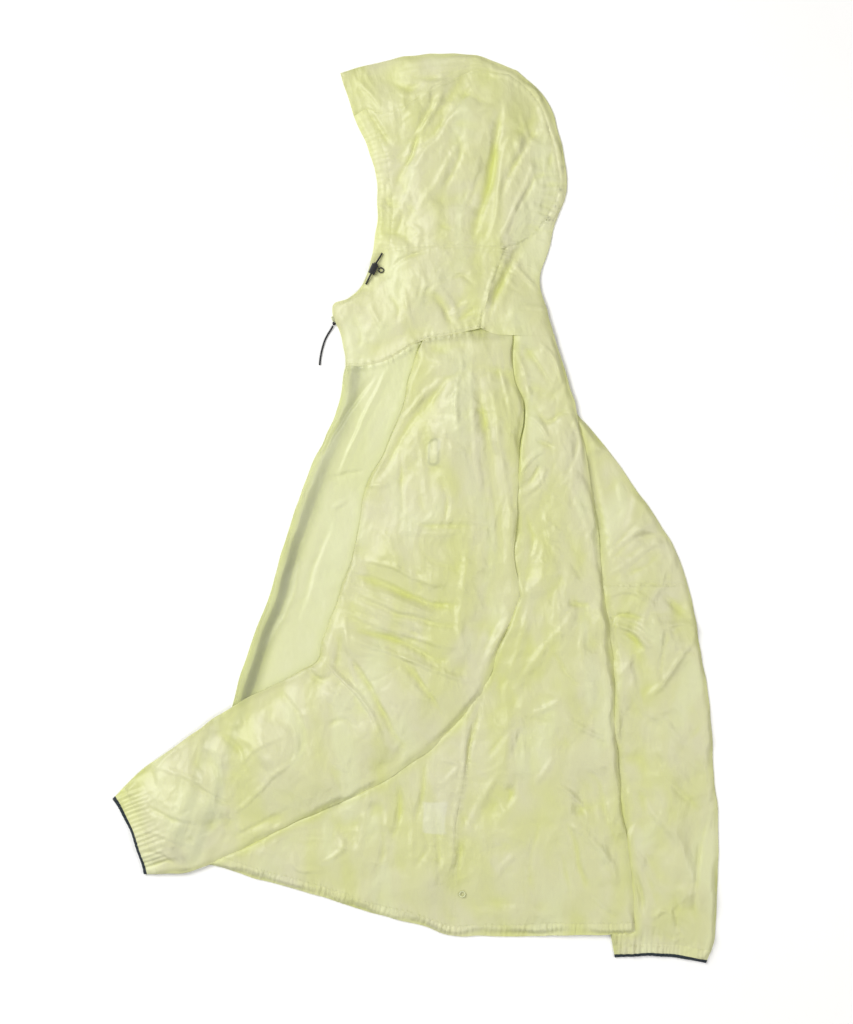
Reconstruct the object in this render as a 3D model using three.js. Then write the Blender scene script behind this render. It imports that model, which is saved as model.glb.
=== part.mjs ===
import * as THREE from 'three';

// Hooded windbreaker jacket of thin cloth, laid flat in profile on its right side.
// Units are millimetres. +X points from the front edge to the back edge, +Y to the hood, +Z up.
// The right half lies on the surface, the left half on it, the left sleeve on both,
// and the right sleeve lies below the body and shows past the back edge.

const WALL = 1.2; // thickness of each cloth wall
const AIR = 0.6; // air between two layers that lie on each other
const SEAM_GAP = 0.3; // parting of two pieces at a seam
const LAYER = WALL + AIR;
const TUBE_HEIGHT = 2 * WALL + AIR;
const STACK_RISE = TUBE_HEIGHT + AIR; // how much a whole tube lifts what lies on it
const TURN_STEPS = 3; // flat facets round each folded edge

const LIFT_MARGIN = 20; // level border kept round a tube that lifts the body
const LIFT_RUN = 90; // length over which the body comes down to the surface
const SLEEVE_MARGIN = 20; // level border past the body's edge below the left sleeve
const SLEEVE_RUN = 55; // length over which the left sleeve comes down to the surface
const FOLD_FREE_EDGE = 28; // border along each outline in which no fold stands up
const COVER_FREE = 18; // border round a covering piece in which no fold stands up
const COVER_RUN = 40;

const ZIP_FACING = 8; // width of the left front's return below its front fold
const ZIP_TAPE = 3; // visible width of each zip tape
const ZIP_COIL = 2.4; // width of the closed coil
const ZIP_SIDE = ZIP_FACING + 2 * ZIP_TAPE + ZIP_COIL + 4 * SEAM_GAP; // front fold to the right front

const CUFF_LENGTH = 13; // elastic casing and binding together
const BINDING_LENGTH = 2.6;
const CUFF_BOW = 4; // how far the middle of a cuff line bows toward the elbow
const HEM_GATHER = 0.7; // height of one gather in the hem casing
const CUFF_GATHER = 0.6;
const CORD_DIAMETER = 2;

const CLOTH_COLOUR = 0xdee2aa;
const BINDING_COLOUR = 0x1c2b30;
const BLACK = 0x141618;
const TAPE_COLOUR = 0xb8b6a4;
const COIL_COLOUR = 0x8f8f86;
const LABEL_COLOUR = 0xf2f2ec;
const LOOP_COLOUR = 0xc9cfa8;

const OUTLINE_CENTRE = { x: 1.06, y: 0.81 }; // middle of the outline's box, which is the part's origin

const UPPER = 'upper'; // the layer of a flat tube, fold or pair of panels that is on top
const LOWER = 'lower';

function table(columns, rows) {
  return rows.map((row) => Object.fromEntries(columns.map((column, i) => [column, row[i]])));
}

// Cross sections of the body from the neck to the hem casing: the front fold, the front's side edge
// (raglan seam, then side seam), the back's side edge, and the fold at centre back.
const BODY_SECTIONS = table(
  ['frontX', 'frontY', 'seamX', 'seamY', 'armX', 'armY', 'backX', 'backY'],
  [
    [-74.3, 155.7, 8.3, 184.3, 107.0, 189.0, 153.5, 191.0],
    [-83.9, 115.1, 23.0, 141.0, 107.0, 146.0, 167.0, 147.0],
    [-97.0, 85.0, 41.0, 103.0, 114.0, 107.6, 178.5, 106.0],
    [-109.0, 57.9, 50.0, 68.0, 107.0, 71.0, 187.0, 71.0],
    [-121.0, 25.0, 58.0, 32.0, 102.0, 35.0, 193.5, 33.0],
    [-135.2, -13.8, 71.0, -14.0, 97.0, -17.0, 200.5, -17.0],
    [-148.4, -56.7, 85.0, -57.0, 85.3, -57.0, 205.0, -62.0],
    [-166.2, -111.4, 79.0, -117.0, 79.3, -117.0, 210.5, -115.0],
    [-187.7, -175.9, 71.0, -180.0, 71.3, -180.0, 218.2, -180.4],
    [-202.1, -218.8, 66.0, -225.0, 66.3, -225.0, 220.5, -222.0],
    [-214.0, -257.0, 60.5, -262.0, 60.8, -262.0, 222.6, -263.0],
    [-225.0, -293.0, 51.5, -298.0, 51.8, -298.0, 226.0, -300.0],
    [-232.5, -320.0, 48.5, -335.0, 48.8, -335.0, 229.8, -336.6],
    [-240.0, -345.0, 46.3, -373.0, 46.6, -373.0, 234.5, -373.0],
    [-246.0, -361.0, 43.2, -412.0, 43.5, -412.0, 238.8, -410.3],
    [-249.6, -373.5, 39.8, -458.2, 40.1, -458.2, 241.3, -455.0],
  ],
);
const BODY_ROWS = 20;
const UNDERARM_ROW = 8; // the first of those rows on the side seam
const HEM_CORNER = {
  frontX: -250.3,
  frontY: -383.4,
  sideX: 39.0,
  sideY: -468.2,
  backX: 241.8,
  backY: -464.8,
};
const HEM_SAG = 3; // how far the back hem hangs below its chord
const HEM_ROW_SHARES = [0.03, 0.5, 1]; // shares of the casing's width at which its rows lie
const HEM_FRONT_STEPS = 20; // half gathers along the front hem
const HEM_BACK_STEPS = 13;

// Cross sections of the sleeves from the neck seam to the cuff casing. hole1 and hole2 are the
// edges of the armhole, then of the seam, as shares of the way across the wall that holds it.
const LEFT_SLEEVE = table(
  ['frontX', 'frontY', 'backX', 'backY', 'hole1', 'hole2'],
  [
    [8.3, 184.3, 107.0, 189.0, 0.03, 0.97],
    [-6.1, 141.4, 109.8, 143.6, 0.25, 0.965],
    [-16.0, 100.7, 120.0, 107.7, 0.42, 0.95],
    [-31.4, 65.5, 116.5, 71.7, 0.55, 0.94],
    [-50.1, 28.1, 114.3, 35.8, 0.66, 0.93],
    [-58.9, -3.9, 112.0, -18.2, 0.76, 0.915],
    [-67.7, -55.6, 110.0, -56.7, 0.858, 0.862],
    [-74.3, -75.4, 116.1, -95.2, 0.85, 0.852],
    [-87.5, -109.5, 98.7, -139.5, 0.8, 0.802],
    [-101.8, -146.9, 80.9, -186.5, 0.75, 0.752],
    [-104.0, -163.0, 51.9, -231.6, 0.7, 0.703],
    [-110.0, -170.5, 6.1, -274.9, 0.65, 0.653],
    [-126.0, -178.5, -40.0, -303.5, 0.6, 0.603],
    [-154.6, -193.1, -83.3, -324.3, 0.55, 0.553],
    [-201.9, -218.4, -133.0, -344.6, 0.5, 0.503],
    [-238.0, -244.0, -172.0, -365.5, 0.5, 0.503],
    [-262.9, -261.3, -200.0, -380.4, 0.5, 0.503],
    [-296.5, -283.8, -249.4, -398.3, 0.5, 0.503],
    [-319.5, -306.5, -285.0, -402.2, 0.5, 0.504],
  ],
);
const LEFT_CUFF = { frontX: -331.3, frontY: -319.3, backX: -298.1, backY: -402.8 };
const LEFT_ELBOW_SECTION = 8;

const RIGHT_SLEEVE = table(
  ['frontX', 'frontY', 'backX', 'backY', 'hole1', 'hole2'],
  [
    [8.3, 184.3, 107.0, 189.0, 0.03, 0.97],
    [22.0, 140.0, 138.0, 163.0, 0.06, 0.8],
    [44.0, 108.0, 163.0, 126.0, 0.08, 0.62],
    [72.0, 80.0, 192.0, 88.0, 0.1, 0.45],
    [94.0, 50.0, 221.0, 52.5, 0.11, 0.32],
    [112.0, 18.0, 249.8, 13.4, 0.12, 0.22],
    [127.0, -17.0, 272.3, -20.4, 0.13, 0.133],
    [142.0, -50.0, 288.0, -49.5, 0.13, 0.133],
    [155.0, -82.0, 299.2, -83.1, 0.13, 0.133],
    [162.0, -122.0, 308.2, -123.5, 0.13, 0.133],
    [169.0, -162.0, 314.9, -161.7, 0.13, 0.133],
    [177.0, -221.0, 324.3, -221.7, 0.13, 0.133],
    [186.0, -292.0, 330.2, -292.4, 0.13, 0.133],
    [195.0, -351.0, 333.2, -351.3, 0.13, 0.133],
    [205.0, -410.0, 333.0, -410.3, 0.12, 0.123],
    [213.5, -455.0, 329.5, -457.0, 0.1, 0.103],
    [218.5, -480.0, 325.5, -486.0, 0.08, 0.083],
  ],
);
const RIGHT_CUFF = { frontX: 221.1, frontY: -492.8, backX: 320.7, backY: -498.9 };
const RIGHT_ELBOW_SECTION = 8;

// Cross sections of the neck piece from the neck seam up to the hood seam.
const NECK_SECTIONS = table(
  ['frontX', 'frontY', 'backX', 'backY'],
  [
    [-74.3, 156.0, 72.9, 197.1],
    [-75.2, 173.0, 78.5, 221.0],
    [-82.2, 194.7, 84.2, 243.7],
    [-89.7, 213.2, 90.0, 257.0],
    [-87.6, 224.6, 93.6, 266.0],
    [-72.4, 231.2, 96.5, 273.0],
    [-57.6, 243.9, 98.2, 278.0],
    [-48.8, 264.9, 99.2, 281.0],
    [-45.3, 280.6, 99.9, 284.4],
  ],
);
const NECK_ROWS = 8;
const NECK_SEAM = table(
  ['x', 'y'],
  [
    [-74.3, 156.0],
    [-39.1, 159.7],
    [-14.4, 171.4],
    [8.3, 184.6],
    [46.2, 190.6],
    [72.9, 197.1],
  ],
);
const NECK_SEAM_SLEEVE_START = 3; // row of NECK_SEAM where the sleeve head starts

// Cross sections of the face opening's cord casing, from the hood seam up to the brim seam.
const CASING_SECTIONS = table(
  ['frontX', 'frontY', 'backX', 'backY'],
  [
    [-45.3, 281.0, -28.4, 281.0],
    [-41.9, 315.4, -25.5, 316.0],
    [-41.5, 340.7, -25.0, 342.0],
    [-44.0, 372.2, -28.0, 374.0],
    [-51.4, 397.5, -35.5, 402.0],
    [-66.0, 430.0, -51.5, 438.0],
  ],
);

// Cross sections of the hood side from the hood seam up to the brim seam.
const HOOD_SECTIONS = table(
  ['frontX', 'frontY', 'backX', 'backY'],
  [
    [-28.1, 281.0, 99.9, 284.8],
    [-26.2, 300.0, 132.6, 300.0],
    [-25.2, 322.0, 147.0, 322.0],
    [-24.7, 342.0, 157.0, 346.0],
    [-27.7, 374.0, 156.5, 378.0],
    [-31.0, 390.0, 150.0, 411.0],
    [-35.2, 402.0, 139.0, 441.0],
    [-42.5, 420.0, 123.0, 463.0],
    [-51.2, 438.0, 104.0, 477.0],
  ],
);
const HOOD_ROWS = 13;
const BRIM_SEAM = table(
  ['x', 'y'],
  [
    [-51.2, 438.0],
    [-34.0, 435.1],
    [-10.9, 442.3],
    [7.0, 452.8],
    [30.1, 465.4],
    [64.9, 480.0],
    [104.0, 477.0],
  ],
);

// The hood's outline from the tip of the brim over the crown to the yoke seam.
const CROWN_BRIM = table(
  ['x', 'y'],
  [
    [-82.0, 478.0],
    [-60.0, 484.6],
    [-30.3, 492.3],
    [22.3, 500.6],
    [64.4, 496.9],
    [113.0, 481.5],
  ],
);
const CROWN_BACK = table(
  ['x', 'y'],
  [
    [113.0, 481.5],
    [133.9, 462.8],
    [148.6, 441.7],
    [159.2, 410.1],
    [165.4, 378.5],
    [165.6, 346.0],
    [157.5, 320.0],
    [148.5, 290.0],
  ],
);
const CROWN_NAPE = table(
  ['x', 'y'],
  [
    [148.5, 290.0],
    [136.5, 251.2],
    [139.5, 232.0],
    [146.0, 216.4],
  ],
);

const YOKE_TOP = table(
  ['x', 'y'],
  [
    [73.2, 197.3],
    [146.2, 215.6],
  ],
);
const YOKE_BOTTOM = table(
  ['x', 'y'],
  [
    [76.6, 196.6],
    [95.0, 192.2],
    [114.0, 191.0],
    [152.9, 191.6],
  ],
);
const YOKE_ROW_SHARES = [0.03, 0.5, 0.97]; // shares of the yoke's width at which its rows lie

// Folds and troughs of the cloth that stand out from a step away, each along a straight line.
// Rise is its height above the puffed cloth, and less than nought in a trough.
const FOLDS = table(
  ['surface', 'x1', 'y1', 'x2', 'y2', 'width', 'rise'],
  [
    ['sleeve', 62, 150, 75, 60, 24, -3.5],
    ['sleeve', 75, 60, 94, -50, 24, -3.5],
    ['sleeve', 94, -50, 74, -175, 26, -3.0],
    ['sleeve', 42, 180, 38, 60, 22, 2.6],
    ['sleeve', 38, 60, 30, -20, 22, 2.4],
    ['sleeve', 48, 150, -8, 100, 20, -2.8],
    ['sleeve', -8, 100, -38, 50, 20, -2.6],
    ['sleeve', -10, 75, -50, 10, 22, 2.6],
    ['sleeve', -66, -72, 44, -108, 22, -3.0],
    ['sleeve', -68, -92, 52, -146, 22, 2.8],
    ['sleeve', -78, -112, 70, -188, 22, -3.0],
    ['sleeve', -80, -126, -26, -192, 20, 2.6],
    ['sleeve', -96, -150, -52, -230, 22, -2.6],
    ['sleeve', -100, -168, -40, -262, 22, 2.4],
    ['sleeve', -150, -215, -75, -300, 24, -2.4],
    ['sleeve', -190, -240, -120, -330, 24, 2.2],
    ['sleeve', -235, -268, -170, -350, 24, -2.2],
    ['sleeve', -270, -292, -225, -380, 20, 2.0],
    ['hood', 72, 478, 30, 445, 22, -2.8],
    ['hood', 30, 445, 8, 408, 22, -2.6],
    ['hood', 30, 460, -4, 416, 20, 2.6],
    ['hood', -4, 416, -20, 330, 22, -2.6],
    ['hood', 92, 458, 98, 418, 24, 2.8],
    ['hood', 98, 418, 72, 305, 24, -3.2],
    ['hood', 144, 430, 118, 396, 24, -2.8],
    ['hood', 118, 396, 80, 296, 24, 2.8],
    ['hood', 133, 388, 98, 334, 22, -2.6],
    ['hood', 130, 300, 100, 255, 22, -2.4],
    ['hood', -10, 262, 60, 230, 24, 2.2],
    ['hood', 10, 240, 66, 212, 22, -2.0],
    ['body', -70, 120, -122, -20, 22, 2.0],
    ['body', -122, -20, -165, -150, 24, 2.2],
    ['body', 150, 150, 175, 20, 22, 2.4],
    ['body', 152, 60, 190, -60, 22, -2.4],
    ['body', 130, -60, 200, -200, 24, 2.4],
    ['body', 110, -150, 190, -330, 26, -2.4],
    ['body', 100, -230, 120, -420, 26, 2.4],
    ['body', 62, -250, 52, -400, 22, -2.6],
    ['body', 150, -300, 215, -420, 26, 2.2],
    ['body', -20, -330, 20, -420, 26, 2.0],
    ['body', -110, -360, -60, -420, 22, 1.8],
    ['right', 205, -54, 262, -3, 20, 2.8],
    ['right', 207, -74, 277, -27, 20, -2.8],
    ['right', 212, -119, 262, -148, 22, 2.8],
    ['right', 238, -154, 250, -250, 22, -2.6],
    ['right', 308, -135, 268, -184, 20, 2.4],
    ['right', 262, -250, 292, -400, 24, 2.6],
    ['right', 300, -260, 316, -380, 22, -2.4],
    ['right', 240, -380, 262, -470, 22, 2.2],
  ],
);
const PUFF = { sleeve: 5, hood: 5.5, body: 3, right: 5 }; // height of the puffed cloth above its layer
const PUFF_RUN = 60; // distance from an outline at which the puff is full

// Route of the face drawcord's free end, and of the cord puller on the zip slider.
const DRAW_CORD_ROUTE = table(
  ['x', 'y', 'z'],
  [
    [-35.6, 280.5, 4.9],
    [-37.6, 276.8, 5.2],
    [-39.8, 273.2, 5.9],
    [-41.3, 270.8, 6.4],
    [-42.3, 269.0, 6.5],
    [-45.2, 262.9, 6.5],
    [-48.1, 256.8, 6.5],
    [-49.4, 254.2, 6.2],
    [-51.2, 250.6, 5.2],
    [-53.4, 246.2, 4.5],
  ],
);
const PULL_CORD_ROUTE = table(
  ['x', 'y', 'z'],
  [
    [-89.6, 200.9, 2.0],
    [-92.0, 196.6, 1.4],
    [-95.2, 191.6, 1.1],
    [-98.1, 186.0, 1.1],
    [-100.4, 179.6, 1.1],
    [-102.2, 172.8, 1.1],
    [-103.6, 165.2, 1.1],
    [-104.4, 157.6, 1.1],
  ],
);
// Small parts. Lift is the height of the part's base or middle over the cloth that it lies on.
const CORD_LOCK = {
  x: -45.2,
  y: 262.9,
  turn: 0.45,
  width: 7.6,
  height: 4.4,
  length: 13.6,
  corner: 0.8,
  channelWidth: 2.8,
  channelDepth: 3.2,
  lift: 0.6,
};
const LOCK_RING = { aside: 8.4, below: 1.2, outer: 3.4, inner: 1.9, thickness: 1.2, lift: 1.8 };
const SLIDER = { x: -89.65, y: 208.4, z: 1.6, turn: 0.35, width: 2.8, length: 6, height: 2.8, corner: 1 };
const KNOT = { x: -88.5, y: 203.1, z: 2.2, radius: 2 };
const EYELET = { x: 52.5, y: -423.5, outer: 4, inner: 2, thickness: 1, lift: 0.8 };
const LOOP = { x: 22, y: 62, width: 13, length: 30, corner: 6, thickness: 1, lift: 1.6 };
const LOOP_OPENING = { width: 8.4, length: 24 };
const LABEL = { x: 22.5, y: -339, width: 26, length: 35, corner: 0.6, thickness: 0.8, lift: 0.9 };
const RING_SIDES = 16;
const CORD_SIDES = 8;

function point(x, y) {
  return new THREE.Vector2(x, y);
}

function curveOf(rows, key = '') {
  const xKey = key ? `${key}X` : 'x';
  const yKey = key ? `${key}Y` : 'y';
  const points = rows.map((row) => new THREE.Vector3(row[xKey], row[yKey], 0));
  return new THREE.CatmullRomCurve3(points, false, 'centripetal');
}

function samplesOf(curve, count, start = 0, end = 1) {
  const samples = [];
  for (let i = 0; i <= count; i += 1) {
    const at = curve.getPoint(start + ((end - start) * i) / count);
    samples.push(point(at.x, at.y));
  }
  return samples;
}

function smooth(from, to, value) {
  return THREE.MathUtils.smoothstep(value, from, to);
}

function segmentDistance(x, y, x1, y1, x2, y2) {
  const dx = x2 - x1;
  const dy = y2 - y1;
  const share = THREE.MathUtils.clamp(((x - x1) * dx + (y - y1) * dy) / (dx * dx + dy * dy), 0, 1);
  return { distance: Math.hypot(x - x1 - share * dx, y - y1 - share * dy), share };
}

// Distance to an outline: above nought inside it, below nought outside.
function insideDistance(outline, x, y) {
  let nearest = Infinity;
  let inside = false;
  outline.forEach((a, i) => {
    const b = outline[(i + 1) % outline.length];
    nearest = Math.min(nearest, segmentDistance(x, y, a.x, a.y, b.x, b.y).distance);
    if (a.y > y !== b.y > y && x < ((b.x - a.x) * (y - a.y)) / (b.y - a.y) + a.x) {
      inside = !inside;
    }
  });
  return inside ? nearest : -nearest;
}

function outlineOf(rows, ends) {
  const front = rows.map((row) => point(row.frontX, row.frontY));
  const back = rows.map((row) => point(row.backX, row.backY)).reverse();
  return [...front, ...ends, ...back];
}

const leftSleeveOutline = outlineOf(LEFT_SLEEVE, [
  point(LEFT_CUFF.frontX, LEFT_CUFF.frontY),
  point(LEFT_CUFF.backX, LEFT_CUFF.backY),
]);
const rightSleeveOutline = outlineOf(RIGHT_SLEEVE, [
  point(RIGHT_CUFF.frontX, RIGHT_CUFF.frontY),
  point(RIGHT_CUFF.backX, RIGHT_CUFF.backY),
]);
const bodyOutline = outlineOf(BODY_SECTIONS, [
  point(HEM_CORNER.frontX, HEM_CORNER.frontY),
  point(HEM_CORNER.sideX, HEM_CORNER.sideY),
  point(HEM_CORNER.backX, HEM_CORNER.backY),
]);
const garmentOutline = [
  ...bodyOutline,
  ...[...CROWN_NAPE].reverse().map((row) => point(row.x, row.y)),
  ...[...CROWN_BACK].reverse().slice(1).map((row) => point(row.x, row.y)),
  ...[...CROWN_BRIM].reverse().slice(1).map((row) => point(row.x, row.y)),
  ...[...CASING_SECTIONS].reverse().map((row) => point(row.frontX, row.frontY)),
  ...[...NECK_SECTIONS].reverse().map((row) => point(row.frontX, row.frontY)),
];

function foldRise(surfaces, x, y) {
  let rise = 0;
  FOLDS.filter((fold) => surfaces.includes(fold.surface)).forEach((fold) => {
    const { distance, share } = segmentDistance(x, y, fold.x1, fold.y1, fold.x2, fold.y2);
    if (distance < fold.width) {
      const across = 1 - (distance / fold.width) ** 2;
      const along = 0.55 + 0.45 * Math.sin(Math.PI * share);
      rise += fold.rise * across * across * along;
    }
  });
  return rise;
}

function puffed(outline, surfaces, puff, x, y) {
  const inside = insideDistance(outline, x, y);
  const cloth = puff * smooth(0, PUFF_RUN, inside) + foldRise(surfaces, x, y);
  return Math.max(0, cloth) * smooth(0, FOLD_FREE_EDGE, inside);
}

const NAPE_CORNER = CROWN_NAPE[CROWN_NAPE.length - 1];

function bodyLift(x, y) {
  const outside = -insideDistance(rightSleeveOutline, x, y);
  return STACK_RISE * (1 - smooth(LIFT_MARGIN, LIFT_MARGIN + LIFT_RUN, outside));
}

const HEAD = LEFT_SLEEVE[0];
const HEAD_RISE_RUN = { from: 6, to: 60 }; // distances from the sleeve head over which the rise fades
const NECK_FLAT_RUN = { from: 2, to: 50 }; // distances from the neck seam over which folds grow

function distanceToHead(x, y) {
  return segmentDistance(x, y, HEAD.frontX, HEAD.frontY, HEAD.backX, HEAD.backY).distance;
}

// The hood and neck rise to the sleeve head, which lies two layers up.
function headRise(x, y) {
  return STACK_RISE * (1 - smooth(HEAD_RISE_RUN.from, HEAD_RISE_RUN.to, distanceToHead(x, y)));
}

function clearOf(outline, x, y) {
  return smooth(COVER_FREE, COVER_FREE + COVER_RUN, -insideDistance(outline, x, y));
}

// A stack gives the underside of its lower wall, and the rise of its upper wall above that layer.
const bodyStack = {
  base: bodyLift,
  rise: (x, y) => puffed(garmentOutline, ['body'], PUFF.body, x, y) * clearOf(leftSleeveOutline, x, y),
};
const hoodStack = {
  base: bodyLift,
  rise: (x, y) => {
    const start = NECK_SEAM[0];
    const toFront = segmentDistance(x, y, start.x, start.y, HEAD.frontX, HEAD.frontY).distance;
    const toNape = segmentDistance(x, y, HEAD.frontX, HEAD.frontY, NAPE_CORNER.x, NAPE_CORNER.y).distance;
    const cloth = puffed(garmentOutline, ['hood'], PUFF.hood, x, y);
    const grown = smooth(NECK_FLAT_RUN.from, NECK_FLAT_RUN.to, Math.min(toFront, toNape));
    return headRise(x, y) + cloth * grown;
  },
};
const leftSleeveStack = {
  base: (x, y) => {
    const outside = -insideDistance(bodyOutline, x, y);
    const carried = 1 - smooth(SLEEVE_MARGIN, SLEEVE_MARGIN + SLEEVE_RUN, outside);
    return (bodyLift(x, y) + STACK_RISE) * carried;
  },
  rise: (x, y) => puffed(leftSleeveOutline, ['sleeve'], PUFF.sleeve, x, y),
};
const rightSleeveStack = {
  base: () => 0,
  rise: (x, y) =>
    puffed(rightSleeveOutline, ['right'], PUFF.right, x, y) * clearOf(bodyOutline, x, y),
};

function undersideOf(stack, layer, x, y) {
  const base = stack.base(x, y);
  return layer === LOWER ? base : base + LAYER + stack.rise(x, y);
}

// A station of a wall holds its outer and its inner point.
function station(stack, layer, at, extra = 0) {
  const low = undersideOf(stack, layer, at.x, at.y) + (layer === UPPER ? extra : 0);
  const bottom = new THREE.Vector3(at.x, at.y, low);
  const top = new THREE.Vector3(at.x, at.y, low + WALL);
  return layer === LOWER ? { outer: bottom, inner: top } : { outer: top, inner: bottom };
}

function roundTurn(stack, edge, before, goesUp) {
  const outward = point(edge.x - before.x, edge.y - before.y).normalize();
  const low = undersideOf(stack, LOWER, edge.x, edge.y);
  const high = undersideOf(stack, UPPER, edge.x, edge.y) + WALL;
  const radius = (high - low) / 2;
  const middle = (high + low) / 2;
  const stations = [];
  for (let i = 0; i <= TURN_STEPS; i += 1) {
    const angle = Math.PI * (goesUp ? i / TURN_STEPS - 0.5 : 0.5 - i / TURN_STEPS);
    const arcPoint = (r) => {
      const reach = r * Math.cos(angle) - radius;
      const x = edge.x + outward.x * reach;
      const y = edge.y + outward.y * reach;
      return new THREE.Vector3(x, y, middle + r * Math.sin(angle));
    };
    stations.push({ outer: arcPoint(radius), inner: arcPoint(radius - WALL) });
  }
  return stations;
}

// One row of a wall: runs of points on the lower or the upper layer, with a round turn between runs.
function wallRow(stack, runs) {
  const stations = [];
  runs.forEach((run, index) => {
    const last = run.points.length - 1;
    run.points.forEach((at, i) => {
      const turned = (index > 0 && i === 0) || (index < runs.length - 1 && i === last);
      if (!turned) {
        stations.push(station(stack, run.layer, at, run.extra ? run.extra(i, at) : 0));
      }
    });
    if (index < runs.length - 1) {
      stations.push(...roundTurn(stack, run.points[last], run.points[last - 1], run.layer === LOWER));
    }
  });
  return stations;
}

// Closes rows of stations into one solid wall.
function wallSolid(rows) {
  const rowCount = rows.length;
  const across = rows[0].length;
  const positions = [];
  rows.forEach((row) => row.forEach((at) => positions.push(...at.outer.toArray())));
  rows.forEach((row) => row.forEach((at) => positions.push(...at.inner.toArray())));
  const outer = (j, i) => j * across + i;
  const inner = (j, i) => rowCount * across + j * across + i;
  const faces = [];
  const quad = (a, b, c, d) => faces.push(a, b, c, a, c, d);
  for (let j = 0; j < rowCount - 1; j += 1) {
    for (let i = 0; i < across - 1; i += 1) {
      quad(outer(j, i), outer(j, i + 1), outer(j + 1, i + 1), outer(j + 1, i));
      quad(inner(j, i), inner(j + 1, i), inner(j + 1, i + 1), inner(j, i + 1));
    }
    quad(outer(j, 0), outer(j + 1, 0), inner(j + 1, 0), inner(j, 0));
    quad(outer(j + 1, across - 1), outer(j, across - 1), inner(j, across - 1), inner(j + 1, across - 1));
  }
  const end = rowCount - 1;
  for (let i = 0; i < across - 1; i += 1) {
    quad(outer(0, i + 1), outer(0, i), inner(0, i), inner(0, i + 1));
    quad(outer(end, i), outer(end, i + 1), inner(end, i + 1), inner(end, i));
  }
  return closedGeometry(positions, faces);
}

// Turns the faces outward where the rows ran the other way round.
function closedGeometry(positions, faces) {
  let volume = 0;
  const corner = (i) => new THREE.Vector3().fromArray(positions, 3 * faces[i]);
  for (let i = 0; i < faces.length; i += 3) {
    volume += corner(i).dot(corner(i + 1).cross(corner(i + 2)));
  }
  if (volume < 0) {
    for (let i = 0; i < faces.length; i += 3) {
      [faces[i + 1], faces[i + 2]] = [faces[i + 2], faces[i + 1]];
    }
  }
  const geometry = new THREE.BufferGeometry();
  geometry.setAttribute('position', new THREE.Float32BufferAttribute(positions, 3));
  geometry.setIndex(faces);
  geometry.computeVertexNormals();
  return geometry;
}

// Points between a left and a right edge, with the first and last rows bent to given lines.
function loftGrid(left, right, columns, first = null, last = null) {
  const rows = left.length - 1;
  return left.map((start, j) => {
    const v = j / rows;
    const row = [];
    for (let i = 0; i <= columns; i += 1) {
      const u = i / columns;
      const at = start.clone().lerp(right[j], u);
      if (first) {
        const wanted = first[i].clone().sub(left[0].clone().lerp(right[0], u));
        at.add(wanted.multiplyScalar((1 - v) ** 2));
      }
      if (last) {
        const wanted = last[i].clone().sub(left[rows].clone().lerp(right[rows], u));
        at.add(wanted.multiplyScalar(v ** 2));
      }
      row.push(at);
    }
    return row;
  });
}

function pullIn(at, toward) {
  const step = toward.clone().sub(at);
  return at.clone().add(step.setLength(SEAM_GAP / 2));
}

// Draws the named sides of a grid in by half a seam's parting.
function trimmed(grid, sides) {
  const copy = grid.map((row) => row.map((at) => at.clone()));
  const end = grid.length - 1;
  const edge = grid[0].length - 1;
  const move = (j, i, jn, ins) => {
    const shift = pullIn(grid[j][i], grid[jn][ins]).sub(grid[j][i]);
    copy[j][i].add(shift);
  };
  if (sides.includes('first')) {
    grid[0].forEach((at, i) => move(0, i, 1, i));
  }
  if (sides.includes('last')) {
    grid[end].forEach((at, i) => move(end, i, end - 1, i));
  }
  if (sides.includes('left')) {
    grid.forEach((row, j) => move(j, 0, j, 1));
  }
  if (sides.includes('right')) {
    grid.forEach((row, j) => move(j, edge, j, edge - 1));
  }
  return copy;
}

function acrossFrom(start, toward, distances) {
  const way = toward.clone().sub(start).normalize();
  return distances.map((distance) => start.clone().addScaledVector(way, distance));
}

// Evenly spaced points along a row, from a distance past its start to its end.
function alongRow(row, from, count) {
  const reach = [0];
  row.slice(1).forEach((at, i) => reach.push(reach[i] + at.distanceTo(row[i])));
  const total = reach[reach.length - 1];
  const points = [];
  for (let i = 0; i <= count; i += 1) {
    const distance = from + ((total - from) * i) / count;
    const next = Math.max(1, reach.findIndex((r) => r >= distance - 1e-6));
    const share = (distance - reach[next - 1]) / (reach[next] - reach[next - 1]);
    points.push(row[next - 1].clone().lerp(row[next], share));
  }
  return points;
}

const clothMaterial = (shade = 1) =>
  new THREE.MeshStandardMaterial({
    color: new THREE.Color(CLOTH_COLOUR).multiplyScalar(shade),
    roughness: 0.35,
    metalness: 0,
  });
const plainMaterial = (color, roughness, metalness = 0) =>
  new THREE.MeshStandardMaterial({ color, roughness, metalness });

const jacket = new THREE.Group();
jacket.position.set(-OUTLINE_CENTRE.x, -OUTLINE_CENTRE.y, 0);

function addPiece(name, geometry, material) {
  const piece = new THREE.Mesh(geometry, material);
  piece.name = name;
  jacket.add(piece);
  return piece;
}

function addWall(name, stack, rowsOfRuns, material = clothMaterial()) {
  return addPiece(name, wallSolid(rowsOfRuns.map((runs) => wallRow(stack, runs))), material);
}

const FRONT_COLUMNS = 9;
const BACK_COLUMNS = 7;
const SLEEVE_HEAD_COLUMNS = 7;
const YOKE_COLUMNS = 3;
const SLEEVE_COLUMNS = SLEEVE_HEAD_COLUMNS + YOKE_COLUMNS;

const neckCurve = curveOf(NECK_SEAM);
const sleeveShare = NECK_SEAM_SLEEVE_START / (NECK_SEAM.length - 1);
const neckSeamFront = samplesOf(neckCurve, FRONT_COLUMNS, 0, sleeveShare);
const neckSeamSleeve = samplesOf(neckCurve, SLEEVE_HEAD_COLUMNS, sleeveShare, 1);

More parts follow.
